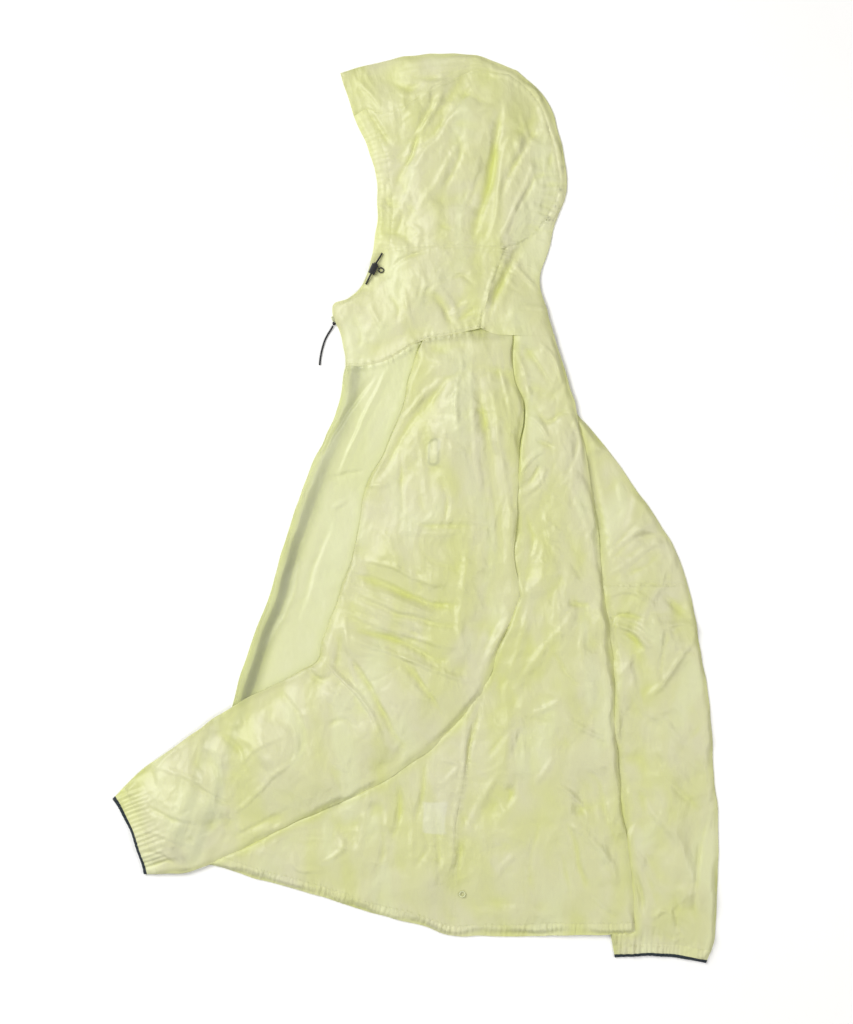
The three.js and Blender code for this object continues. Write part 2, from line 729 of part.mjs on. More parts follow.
const bodyEdge = Object.fromEntries(
  ['front', 'seam', 'arm', 'back'].map((key) => [key, samplesOf(curveOf(BODY_SECTIONS, key), BODY_ROWS)]),
);
bodyEdge.arm = bodyEdge.arm.map((at, j) => (j < UNDERARM_ROW ? at : bodyEdge.seam[j]));

function buildFronts() {
  const over = trimmed(loftGrid(bodyEdge.front, bodyEdge.seam, FRONT_COLUMNS, neckSeamFront), [
    'first',
    'last',
    'right',
  ]);
  const rows = over.map((row) => {
    const [inner] = alongRow(row, ZIP_FACING, 1);
    const [middle] = alongRow(row, ZIP_FACING / 2, 1);
    return [
      { layer: LOWER, points: [inner, middle, row[0]] },
      { layer: UPPER, points: row },
    ];
  });
  addWall('front_left', bodyStack, rows);

  const under = over.map((row) => alongRow(row, ZIP_SIDE, FRONT_COLUMNS));
  addWall(
    'front_right',
    bodyStack,
    under.map((row) => [{ layer: LOWER, points: row }]),
    clothMaterial(0.96),
  );
  buildZip(over);
}

function stripRows(rows, from, width) {
  return rows.map((row) => {
    const [start] = alongRow(row, from, 1);
    const [end] = alongRow(row, from + width, 1);
    return [{ layer: LOWER, points: [start, end] }];
  });
}

function buildZip(rows) {
  const tapeStart = ZIP_FACING + SEAM_GAP;
  const coilStart = tapeStart + ZIP_TAPE + SEAM_GAP;
  const farTapeStart = coilStart + ZIP_COIL + SEAM_GAP;
  const tape = plainMaterial(TAPE_COLOUR, 0.8);
  addWall('zip_tape_left', bodyStack, stripRows(rows, tapeStart, ZIP_TAPE), tape);
  addWall('zip_coil', bodyStack, stripRows(rows, coilStart, ZIP_COIL), plainMaterial(COIL_COLOUR, 0.5));
  addWall('zip_tape_right', bodyStack, stripRows(rows, farTapeStart, ZIP_TAPE), tape);
}

function buildBack() {
  const grid = trimmed(loftGrid(bodyEdge.arm, bodyEdge.back, BACK_COLUMNS), ['first', 'last', 'left']);
  const rows = grid.map((row) => [
    { layer: UPPER, points: row },
    { layer: LOWER, points: [...row].reverse() },
  ]);
  addWall('back', bodyStack, rows);
}

function buildYoke() {
  const top = samplesOf(curveOf(YOKE_TOP), SLEEVE_COLUMNS);
  const bottom = samplesOf(curveOf(YOKE_BOTTOM), SLEEVE_COLUMNS);
  const grid = YOKE_ROW_SHARES.map((v) => top.map((at, i) => at.clone().lerp(bottom[i], v)));
  const rows = grid.map((row) => [
    { layer: UPPER, points: row },
    { layer: LOWER, points: [...row].reverse() },
  ]);
  addWall('back_yoke', hoodStack, rows, clothMaterial(0.98));
}

// A point at a share of the way across a sleeve section, by straight line from front to back.
function acrossSection(section, share) {
  const at = section.front.clone().lerp(section.back, share);
  return section.bow ? at.addScaledVector(section.toElbow, 4 * share * (1 - share) * section.bow) : at;
}

function sleeveSections(sections, from, to, count) {
  const curves = { front: curveOf(sections, 'front'), back: curveOf(sections, 'back') };
  const last = sections.length - 1;
  const found = [];
  for (let i = 0; i <= count; i += 1) {
    const place = from + ((to - from) * i) / count;
    const share = place / last;
    const front = curves.front.getPoint(share);
    const back = curves.back.getPoint(share);
    const low = Math.min(Math.floor(place), last - 1);
    const mix = (key) => THREE.MathUtils.lerp(sections[low][key], sections[low + 1][key], place - low);
    found.push({
      front: point(front.x, front.y),
      back: point(back.x, back.y),
      hole1: mix('hole1'),
      hole2: mix('hole2'),
    });
  }
  return found;
}

// The ring of cloth round a sleeve, from one side of its seam to the other. The seam lies in the
// wall that faces the body, so the left sleeve's is below and the right sleeve's is above.
function sleeveRing(section, counts, seamLayer, head = null, gather = null) {
  const spread = (from, to, count) => {
    const points = [];
    for (let i = 0; i <= count; i += 1) {
      points.push(acrossSection(section, from + ((to - from) * i) / count));
    }
    return points;
  };
  const farLayer = seamLayer === LOWER ? UPPER : LOWER;
  const full = head || spread(0, 1, counts.full);
  return [
    { layer: seamLayer, points: spread(section.hole1, 0, counts.front), extra: gather },
    { layer: farLayer, points: full, extra: gather },
    { layer: seamLayer, points: spread(1, section.hole2, counts.back), extra: gather },
  ];
}

function drawnTogether(sections, atStart, atEnd) {
  const copy = sections.map((section) => ({ ...section }));
  const shift = (from, toward) => ({
    ...from,
    front: pullIn(from.front, toward.front),
    back: pullIn(from.back, toward.back),
  });
  const end = copy.length - 1;
  if (atStart) {
    copy[0] = shift(sections[0], sections[1]);
  }
  if (atEnd) {
    copy[end] = shift(sections[end], sections[end - 1]);
  }
  return copy;
}

function cuffSections(sections, cuff, fromCuff, toCuff) {
  const last = sections[sections.length - 1];
  const casing = { front: point(last.frontX, last.frontY), back: point(last.backX, last.backY) };
  const end = { front: point(cuff.frontX, cuff.frontY), back: point(cuff.backX, cuff.backY) };
  const toElbow = casing.front.clone().add(casing.back).sub(end.front).sub(end.back).normalize();
  return [fromCuff, (fromCuff + toCuff) / 2, toCuff].map((distance) => {
    const share = 1 - distance / CUFF_LENGTH;
    return {
      front: casing.front.clone().lerp(end.front, share),
      back: casing.back.clone().lerp(end.back, share),
      hole1: last.hole1,
      hole2: last.hole2,
      bow: CUFF_BOW,
      toElbow,
    };
  });
}

function buildSleeve(side, sections, cuff, elbow, stack, seamLayer, counts, rowCounts) {
  const last = sections.length - 1;
  const upper = drawnTogether(sleeveSections(sections, 0, elbow, rowCounts.upper), true, true);
  const lower = drawnTogether(sleeveSections(sections, elbow, last, rowCounts.lower), true, true);
  const casing = cuffSections(sections, cuff, CUFF_LENGTH - SEAM_GAP / 2, BINDING_LENGTH + SEAM_GAP);
  const binding = cuffSections(sections, cuff, BINDING_LENGTH, 0);
  const end = lower.length - 1;
  lower[end].bow = CUFF_BOW;
  lower[end].toElbow = casing[0].toElbow;
  lower[end - 1].bow = CUFF_BOW / 2;
  lower[end - 1].toElbow = casing[0].toElbow;

  const neckCorner = NECK_SEAM[NECK_SEAM.length - 1];
  const yokeSide = new THREE.LineCurve3(
    new THREE.Vector3(neckCorner.x, neckCorner.y, 0),
    new THREE.Vector3(HEAD.backX, HEAD.backY, 0),
  );
  const headLine = [
    ...neckSeamSleeve.map((at) => point(at.x, at.y - SEAM_GAP)),
    ...samplesOf(yokeSide, YOKE_COLUMNS).slice(1),
  ];
  const upperRows = upper.map((section, j) => {
    const full = [];
    for (let i = 0; i <= counts.full; i += 1) {
      const share = i / counts.full;
      const at = acrossSection(section, share);
      const headAt = headLine[i];
      if (headAt) {
        const straight = acrossSection(upper[0], share);
        at.add(headAt.clone().sub(straight).multiplyScalar((1 - j / upper.length) ** 4));
      }
      full.push(at);
    }
    return sleeveRing(section, counts, seamLayer, full);
  });
  // The two narrow strips beside the armhole end at the corners of the head.
  upperRows.forEach((runs) => {
    const [front, full, back] = runs;
    front.points[front.points.length - 1] = full.points[0];
    back.points[0] = full.points[full.points.length - 1];
  });
  addWall(`sleeve_${side}_upper`, stack, upperRows);
  addWall(
    `sleeve_${side}_lower`,
    stack,
    lower.map((section) => sleeveRing(section, counts, seamLayer)),
    clothMaterial(0.98),
  );
  const gather = (i) => (i % 2 ? CUFF_GATHER : 0);
  addWall(
    `cuff_${side}`,
    stack,
    casing.map((section) => sleeveRing(section, counts, seamLayer, null, gather)),
    clothMaterial(0.95),
  );
  addWall(
    `cuff_binding_${side}`,
    stack,
    binding.map((section) => sleeveRing(section, counts, seamLayer)),
    plainMaterial(BINDING_COLOUR, 0.7),
  );
}

const neckEdge = Object.fromEntries(
  ['front', 'back'].map((key) => [key, samplesOf(curveOf(NECK_SECTIONS, key), NECK_ROWS)]),
);
const hoodEdge = Object.fromEntries(
  ['front', 'back'].map((key) => [key, samplesOf(curveOf(HOOD_SECTIONS, key), HOOD_ROWS)]),
);
const HOOD_COLUMNS = 12;
const CASING_COLUMNS = 2;
const CENTRE_COLUMNS = 3;
const brimSeam = samplesOf(curveOf(BRIM_SEAM), HOOD_COLUMNS);
const casingEdge = Object.fromEntries(
  ['front', 'back'].map((key) => [key, samplesOf(curveOf(CASING_SECTIONS, key), HOOD_ROWS)]),
);

function buildNeck() {
  const seam = [...neckSeamFront, ...neckSeamSleeve.slice(1)];
  const columns = seam.length - 1;
  const grid = trimmed(loftGrid(neckEdge.front, neckEdge.back, columns, seam), ['first', 'last', 'right']);
  addWall(
    'neck_left',
    hoodStack,
    grid.map((row) => [{ layer: UPPER, points: row }]),
    clothMaterial(0.98),
  );
  addWall(
    'neck_right',
    hoodStack,
    grid.map((row) => [{ layer: LOWER, points: row }]),
    clothMaterial(0.94),
  );
}

function buildHoodSides() {
  const grid = trimmed(loftGrid(hoodEdge.front, hoodEdge.back, HOOD_COLUMNS, null, brimSeam), [
    'first',
    'last',
    'left',
    'right',
  ]);
  const casing = trimmed(loftGrid(casingEdge.front, casingEdge.back, CASING_COLUMNS), ['first', 'last', 'right']);
  [
    ['left', UPPER, 1],
    ['right', LOWER, 0.95],
  ].forEach(([side, layer, shade]) => {
    addWall(
      `hood_side_${side}`,
      hoodStack,
      grid.map((row) => [{ layer, points: row }]),
      clothMaterial(shade),
    );
    addWall(
      `face_casing_${side}`,
      hoodStack,
      casing.map((row) => [{ layer, points: row }]),
      clothMaterial(shade * 0.97),
    );
  });
}

// The centre panel runs from the brim over the crown to the nape, folded along the hood's outline.
function buildHoodCentre() {
  const brim = [casingEdge.front[HOOD_ROWS], ...brimSeam];
  const backSeam = [...hoodEdge.back].reverse();
  const neckSeam = [...neckEdge.back].reverse();
  const near = [...brim, ...backSeam.slice(1), ...neckSeam.slice(1)];
  const far = [
    ...samplesOf(curveOf(CROWN_BRIM), brim.length - 1),
    ...samplesOf(curveOf(CROWN_BACK), backSeam.length - 1).slice(1),
    ...samplesOf(curveOf(CROWN_NAPE), neckSeam.length - 1).slice(1),
  ];
  const grid = trimmed(loftGrid(near, far, CENTRE_COLUMNS), ['left', 'last']);
  const rows = grid.map((row) => [
    { layer: UPPER, points: row },
    { layer: LOWER, points: [...row].reverse() },
  ]);
  addWall('hood_centre', hoodStack, rows, clothMaterial(0.99));
}

function buildHem() {
  const frontCorner = point(HEM_CORNER.frontX, HEM_CORNER.frontY);
  const sideCorner = point(HEM_CORNER.sideX, HEM_CORNER.sideY);
  const backCorner = point(HEM_CORNER.backX, HEM_CORNER.backY);
  const top = [];
  const bottom = [];
  const last = BODY_ROWS;
  const sag = (share) => HEM_SAG * 4 * share * (1 - share);
  for (let i = 0; i <= HEM_FRONT_STEPS; i += 1) {
    const share = i / HEM_FRONT_STEPS;
    top.push(bodyEdge.front[last].clone().lerp(bodyEdge.seam[last], share));
    bottom.push(frontCorner.clone().lerp(sideCorner, share));
  }
  for (let i = 1; i <= HEM_BACK_STEPS; i += 1) {
    const share = i / HEM_BACK_STEPS;
    top.push(bodyEdge.arm[last].clone().lerp(bodyEdge.back[last], share));
    const at = sideCorner.clone().lerp(backCorner, share);
    at.y -= sag(share);
    bottom.push(at);
  }
  const gather = (i, at) => (i % 2 ? HEM_GATHER * clearOf(leftSleeveOutline, at.x, at.y) : 0);
  const rows = HEM_ROW_SHARES.map((v) => {
    const line = top.map((at, i) => at.clone().lerp(bottom[i], v));
    const [start, middle] = acrossFrom(line[0], line[1], [ZIP_FACING, ZIP_FACING / 2]);
    const under = [...line].reverse().slice(0, -2);
    under[under.length - 1] = acrossFrom(line[0], line[1], [ZIP_SIDE])[0];
    return [
      { layer: LOWER, points: [start, middle, line[0]] },
      { layer: UPPER, points: line, extra: gather },
      { layer: LOWER, points: under },
    ];
  });
  addWall('hem_casing', bodyStack, rows, clothMaterial(0.96));
}

const fullCircle = 2 * Math.PI;

function cordSection() {
  const outline = new THREE.Shape();
  for (let i = 0; i < CORD_SIDES; i += 1) {
    const angle = (fullCircle * i) / CORD_SIDES;
    const x = (CORD_DIAMETER / 2) * Math.cos(angle);
    const y = (CORD_DIAMETER / 2) * Math.sin(angle);
    if (i === 0) {
      outline.moveTo(x, y);
    } else {
      outline.lineTo(x, y);
    }
  }
  outline.closePath();
  return outline;
}

function addCord(name, route, steps) {
  const path = new THREE.CatmullRomCurve3(route.map((row) => new THREE.Vector3(row.x, row.y, row.z)));
  const geometry = new THREE.ExtrudeGeometry(cordSection(), { steps, bevelEnabled: false, extrudePath: path });
  addPiece(name, geometry, plainMaterial(BLACK, 0.6));
}

function ringPlate(size) {
  const half = size.thickness / 2;
  const profile = [
    point(size.inner, -half),
    point(size.outer, -half),
    point(size.outer, half),
    point(size.inner, half),
    point(size.inner, -half),
  ];
  return new THREE.LatheGeometry(profile, RING_SIDES).rotateX(Math.PI / 2);
}

function roundedBar(size, height, hole = null) {
  const shape = new THREE.Shape();
  const x = size.width / 2;
  const y = size.length / 2;
  const corner = size.corner;
  shape.moveTo(-x + corner, -y);
  shape.lineTo(x - corner, -y);
  shape.absarc(x - corner, -y + corner, corner, -Math.PI / 2, 0);
  shape.lineTo(x, y - corner);
  shape.absarc(x - corner, y - corner, corner, 0, Math.PI / 2);
  shape.lineTo(-x + corner, y);
  shape.absarc(-x + corner, y - corner, corner, Math.PI / 2, Math.PI);
  shape.lineTo(-x, -y + corner);
  shape.absarc(-x + corner, -y + corner, corner, Math.PI, 1.5 * Math.PI);
  if (hole) {
    const opening = new THREE.Path();
    opening.absellipse(0, 0, hole.width / 2, hole.length / 2, 0, fullCircle, true);
    shape.holes.push(opening);
  }
  const settings = { depth: height, bevelEnabled: false, curveSegments: 4 };
  return new THREE.ExtrudeGeometry(shape, settings).translate(0, 0, -height / 2);
}

// A bar along Y on Z = 0 with a channel in its top for the cord.
function channelBar({ width, height, length, corner, channelWidth, channelDepth }) {
  const shape = new THREE.Shape();
  const x = width / 2;
  const slot = channelWidth / 2;
  shape.moveTo(-x, corner);
  shape.lineTo(-x + corner, 0);
  shape.lineTo(x - corner, 0);
  shape.lineTo(x, corner);
  shape.lineTo(x, height - corner);
  shape.lineTo(x - corner, height);
  shape.lineTo(slot, height);
  shape.lineTo(slot, height - channelDepth);
  shape.lineTo(-slot, height - channelDepth);
  shape.lineTo(-slot, height);
  shape.lineTo(-x + corner, height);
  shape.lineTo(-x, height - corner);
  shape.closePath();
  const bar = new THREE.ExtrudeGeometry(shape, { depth: length, bevelEnabled: false });
  return bar.translate(0, 0, -length / 2).rotateX(Math.PI / 2);
}

function topOf(stack, x, y) {
  return undersideOf(stack, UPPER, x, y) + WALL;
}

function buildHardware() {
  const black = plainMaterial(BLACK, 0.45);
  addCord('draw_cord', DRAW_CORD_ROUTE, 16);
  addCord('zip_pull_cord', PULL_CORD_ROUTE, 20);

  const lock = addPiece('cord_lock', channelBar(CORD_LOCK), black);
  const lockSeat = topOf(hoodStack, CORD_LOCK.x, CORD_LOCK.y);
  lock.position.set(CORD_LOCK.x, CORD_LOCK.y, lockSeat + CORD_LOCK.lift);
  lock.rotation.z = -CORD_LOCK.turn;
  const ring = addPiece('cord_lock_ring', ringPlate(LOCK_RING), black);
  ring.position.set(
    CORD_LOCK.x + LOCK_RING.aside,
    CORD_LOCK.y - LOCK_RING.below,
    lockSeat + LOCK_RING.lift,
  );

  const slider = addPiece('zip_slider', roundedBar(SLIDER, SLIDER.height), plainMaterial(CLOTH_COLOUR, 0.5));
  slider.position.set(SLIDER.x, SLIDER.y, SLIDER.z);
  slider.rotation.z = SLIDER.turn;
  const knot = addPiece('zip_pull_knot', new THREE.SphereGeometry(KNOT.radius, 10, 8), black);
  knot.position.set(KNOT.x, KNOT.y, KNOT.z);

  const eyelet = addPiece('hem_eyelet', ringPlate(EYELET), plainMaterial(CLOTH_COLOUR, 0.4));
  eyelet.position.set(EYELET.x, EYELET.y, topOf(bodyStack, EYELET.x, EYELET.y) + EYELET.lift);
}

function buildInnerTrim() {
  const loopBar = roundedBar(LOOP, LOOP.thickness, LOOP_OPENING);
  const loop = addPiece('inner_loop', loopBar, plainMaterial(LOOP_COLOUR, 0.7));
  const loopFloor = undersideOf(leftSleeveStack, LOWER, LOOP.x, LOOP.y) + WALL;
  loop.position.set(LOOP.x, LOOP.y, loopFloor + LOOP.lift);

  const label = addPiece('care_label', roundedBar(LABEL, LABEL.thickness), plainMaterial(LABEL_COLOUR, 0.8));
  const labelFloor = undersideOf(bodyStack, LOWER, LABEL.x, LABEL.y) + WALL;
  label.position.set(LABEL.x, LABEL.y, labelFloor + LABEL.lift);
}

buildFronts();
buildBack();
buildYoke();
buildSleeve(
  'left',
  LEFT_SLEEVE,
  LEFT_CUFF,
  LEFT_ELBOW_SECTION,
  leftSleeveStack,
  LOWER,
  { front: 5, full: SLEEVE_COLUMNS, back: 2 },
  { upper: 13, lower: 15 },
);
buildSleeve(
  'right',
  RIGHT_SLEEVE,
  RIGHT_CUFF,
  RIGHT_ELBOW_SECTION,
  rightSleeveStack,
  UPPER,
  { front: 1, full: 6, back: SLEEVE_COLUMNS - 1 },
  { upper: 10, lower: 12 },
);
buildNeck();
buildHoodSides();
buildHoodCentre();
buildHem();
buildHardware();
buildInnerTrim();

export default jacket;
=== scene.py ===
"""Looks of a hooded windbreaker of thin see-through nylon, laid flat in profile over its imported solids.

Lengths in the tables are millimetres in the photograph's own frame, and become metres in the part's
frame when a mesh is made. +X points from the front edge to the back edge, +Y to the hood, +Z up.
"""

import math

import bmesh
import bpy
import numpy as np
from mathutils import Matrix, Vector
from mathutils.geometry import delaunay_2d_cdt


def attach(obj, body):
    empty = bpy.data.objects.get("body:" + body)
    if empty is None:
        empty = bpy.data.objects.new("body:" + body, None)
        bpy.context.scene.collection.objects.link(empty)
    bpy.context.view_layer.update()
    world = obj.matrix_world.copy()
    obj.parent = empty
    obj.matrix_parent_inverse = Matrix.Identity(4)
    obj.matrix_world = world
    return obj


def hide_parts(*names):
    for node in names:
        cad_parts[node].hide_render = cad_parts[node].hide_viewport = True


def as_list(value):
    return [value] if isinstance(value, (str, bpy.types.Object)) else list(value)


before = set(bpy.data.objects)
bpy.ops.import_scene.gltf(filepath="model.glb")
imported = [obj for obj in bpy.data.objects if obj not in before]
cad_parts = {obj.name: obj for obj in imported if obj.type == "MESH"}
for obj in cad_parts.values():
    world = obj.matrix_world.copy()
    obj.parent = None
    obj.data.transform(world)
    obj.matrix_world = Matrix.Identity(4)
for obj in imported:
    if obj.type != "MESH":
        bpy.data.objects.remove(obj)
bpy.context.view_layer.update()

MM = 0.001
CENTRE = (1.06, 0.81)  # middle of the outline's box, which is the part's origin

WALL = 1.2  # the solids' cloth wall, whose middle the shells follow
AIR = 0.6
LAYER = WALL + AIR
STACK_RISE = 2 * WALL + 2 * AIR
CLOTH_THICK = 0.28

LIFT_MARGIN, LIFT_RUN = 20, 90
SLEEVE_MARGIN, SLEEVE_RUN = 20, 55
COVER_FREE, COVER_RUN = 18, 40
FOLD_FREE_EDGE = 28
PUFF_RUN = 60
ZIP_FACING, ZIP_TAPE, ZIP_COIL, SEAM_GAP = 8, 3, 2.4, 0.3
ZIP_SIDE = ZIP_FACING + 2 * ZIP_TAPE + ZIP_COIL + 4 * SEAM_GAP
CUFF_LENGTH, BINDING_LENGTH, CUFF_BOW = 13, 2.6, 4
HEM_SAG = 3

FINE, COARSE = 1.9, 4.5  # spacing of a shell's vertices on the near and on the hidden side
STEP = 1.0  # spacing of the height maps
MAP_X, MAP_Y = (-350, 350), (-520, 520)


def table(columns, rows):
    """A short table as one array for each named column."""
    return dict(zip(columns.split(), np.array(rows, float).T))


# Cross sections of the body, sleeves, neck and hood, as in the solids.
BODY = table(
    "front_x front_y seam_x seam_y arm_x arm_y back_x back_y",
    [
        [-74.3, 155.7, 8.3, 184.3, 107.0, 189.0, 153.5, 191.0],
        [-83.9, 115.1, 23.0, 141.0, 107.0, 146.0, 167.0, 147.0],
        [-97.0, 85.0, 41.0, 103.0, 114.0, 107.6, 178.5, 106.0],
        [-109.0, 57.9, 50.0, 68.0, 107.0, 71.0, 187.0, 71.0],
        [-121.0, 25.0, 58.0, 32.0, 102.0, 35.0, 193.5, 33.0],
        [-135.2, -13.8, 71.0, -14.0, 97.0, -17.0, 200.5, -17.0],
        [-148.4, -56.7, 85.0, -57.0, 85.3, -57.0, 205.0, -62.0],
        [-166.2, -111.4, 79.0, -117.0, 79.3, -117.0, 210.5, -115.0],
        [-187.7, -175.9, 71.0, -180.0, 71.3, -180.0, 218.2, -180.4],
        [-202.1, -218.8, 66.0, -225.0, 66.3, -225.0, 220.5, -222.0],
        [-214.0, -257.0, 60.5, -262.0, 60.8, -262.0, 222.6, -263.0],
        [-225.0, -293.0, 51.5, -298.0, 51.8, -298.0, 226.0, -300.0],
        [-232.5, -320.0, 48.5, -335.0, 48.8, -335.0, 229.8, -336.6],
        [-240.0, -345.0, 46.3, -373.0, 46.6, -373.0, 234.5, -373.0],
        [-246.0, -361.0, 43.2, -412.0, 43.5, -412.0, 238.8, -410.3],
        [-249.6, -373.5, 39.8, -458.2, 40.1, -458.2, 241.3, -455.0],
    ],
)
HEM_FRONT, HEM_SIDE, HEM_BACK = (-250.3, -383.4), (39.0, -468.2), (241.8, -464.8)
LEFT_SLEEVE = table(
    "front_x front_y back_x back_y hole1 hole2",
    [
        [8.3, 184.3, 107.0, 189.0, 0.03, 0.97],
        [-6.1, 141.4, 109.8, 143.6, 0.25, 0.965],
        [-16.0, 100.7, 120.0, 107.7, 0.42, 0.95],
        [-31.4, 65.5, 116.5, 71.7, 0.55, 0.94],
        [-50.1, 28.1, 114.3, 35.8, 0.66, 0.93],
        [-58.9, -3.9, 112.0, -18.2, 0.76, 0.915],
        [-67.7, -55.6, 110.0, -56.7, 0.858, 0.862],
        [-74.3, -75.4, 116.1, -95.2, 0.85, 0.852],
        [-87.5, -109.5, 98.7, -139.5, 0.8, 0.802],
        [-101.8, -146.9, 80.9, -186.5, 0.75, 0.752],
        [-104.0, -163.0, 51.9, -231.6, 0.7, 0.703],
        [-110.0, -170.5, 6.1, -274.9, 0.65, 0.653],
        [-126.0, -178.5, -40.0, -303.5, 0.6, 0.603],
        [-154.6, -193.1, -83.3, -324.3, 0.55, 0.553],
        [-201.9, -218.4, -133.0, -344.6, 0.5, 0.503],
        [-238.0, -244.0, -172.0, -365.5, 0.5, 0.503],
        [-262.9, -261.3, -200.0, -380.4, 0.5, 0.503],
        [-296.5, -283.8, -249.4, -398.3, 0.5, 0.503],
        [-319.5, -306.5, -285.0, -402.2, 0.5, 0.504],
    ],
)
LEFT_CUFF = ((-331.3, -319.3), (-298.1, -402.8))
RIGHT_SLEEVE = table(
    "front_x front_y back_x back_y hole1 hole2",
    [
        [8.3, 184.3, 107.0, 189.0, 0.03, 0.97],
        [22.0, 140.0, 138.0, 163.0, 0.06, 0.8],
        [44.0, 108.0, 163.0, 126.0, 0.08, 0.62],
        [72.0, 80.0, 192.0, 88.0, 0.1, 0.45],
        [94.0, 50.0, 221.0, 52.5, 0.11, 0.32],
        [112.0, 18.0, 249.8, 13.4, 0.12, 0.22],
        [127.0, -17.0, 272.3, -20.4, 0.13, 0.133],
        [142.0, -50.0, 288.0, -49.5, 0.13, 0.133],
        [155.0, -82.0, 299.2, -83.1, 0.13, 0.133],
        [162.0, -122.0, 308.2, -123.5, 0.13, 0.133],
        [169.0, -162.0, 314.9, -161.7, 0.13, 0.133],
        [177.0, -221.0, 324.3, -221.7, 0.13, 0.133],
        [186.0, -292.0, 330.2, -292.4, 0.13, 0.133],
        [195.0, -351.0, 333.2, -351.3, 0.13, 0.133],
        [205.0, -410.0, 333.0, -410.3, 0.12, 0.123],
        [213.5, -455.0, 329.5, -457.0, 0.1, 0.103],
        [218.5, -480.0, 325.5, -486.0, 0.08, 0.083],
    ],
)
RIGHT_CUFF = ((221.1, -492.8), (320.7, -498.9))
ELBOW = 8  # section of each sleeve at the seam across the elbow
NECK = table(
    "front_x front_y back_x back_y",
    [
        [-74.3, 156.0, 72.9, 197.1],
        [-75.2, 173.0, 78.5, 221.0],
        [-82.2, 194.7, 84.2, 243.7],
        [-89.7, 213.2, 90.0, 257.0],
        [-87.6, 224.6, 93.6, 266.0],
        [-72.4, 231.2, 96.5, 273.0],
        [-57.6, 243.9, 98.2, 278.0],
        [-48.8, 264.9, 99.2, 281.0],
        [-45.3, 280.6, 99.9, 284.4],
    ],
)
NECK_SEAM = table(
    "x y",
    [
        [-74.3, 156.0],
        [-39.1, 159.7],
        [-14.4, 171.4],
        [8.3, 184.6],
        [46.2, 190.6],
        [72.9, 197.1],
    ],
)
CASING = table(
    "front_x front_y back_x back_y",
    [
        [-45.3, 281.0, -28.4, 281.0],
        [-41.9, 315.4, -25.5, 316.0],
        [-41.5, 340.7, -25.0, 342.0],
        [-44.0, 372.2, -28.0, 374.0],
        [-51.4, 397.5, -35.5, 402.0],
        [-66.0, 430.0, -51.5, 438.0],
    ],
)
HOOD = table(
    "front_x front_y back_x back_y",
    [
        [-28.1, 281.0, 99.9, 284.8],
        [-26.2, 300.0, 132.6, 300.0],
        [-25.2, 322.0, 147.0, 322.0],
        [-24.7, 342.0, 157.0, 346.0],
        [-27.7, 374.0, 156.5, 378.0],
        [-31.0, 390.0, 150.0, 411.0],
        [-35.2, 402.0, 139.0, 441.0],
        [-42.5, 420.0, 123.0, 463.0],
        [-51.2, 438.0, 104.0, 477.0],
    ],
)
BRIM_SEAM = table(
    "x y",
    [
        [-51.2, 438.0],
        [-34.0, 435.1],
        [-10.9, 442.3],
        [7.0, 452.8],
        [30.1, 465.4],
        [64.9, 480.0],
        [104.0, 477.0],
    ],
)
CROWN_BRIM = table(
    "x y",
    [
        [-82.0, 478.0],
        [-60.0, 484.6],
        [-30.3, 492.3],
        [22.3, 500.6],
        [64.4, 496.9],
        [113.0, 481.5],
    ],
)
CROWN_BACK = table(
    "x y",
    [
        [113.0, 481.5],
        [133.9, 462.8],
        [148.6, 441.7],
        [159.2, 410.1],
        [165.4, 378.5],
        [165.6, 346.0],
        [157.5, 320.0],
        [148.5, 290.0],
    ],
)
CROWN_NAPE = table(
    "x y",
    [
        [148.5, 290.0],
        [136.5, 251.2],
        [139.5, 232.0],
        [146.0, 216.4],
    ],
)
YOKE_TOP = ((73.2, 197.3), (146.2, 215.6))
YOKE_BOTTOM = table(
    "x y",
    [
        [76.6, 196.6],
        [95.0, 192.2],
        [114.0, 191.0],
        [152.9, 191.6],
    ],
)

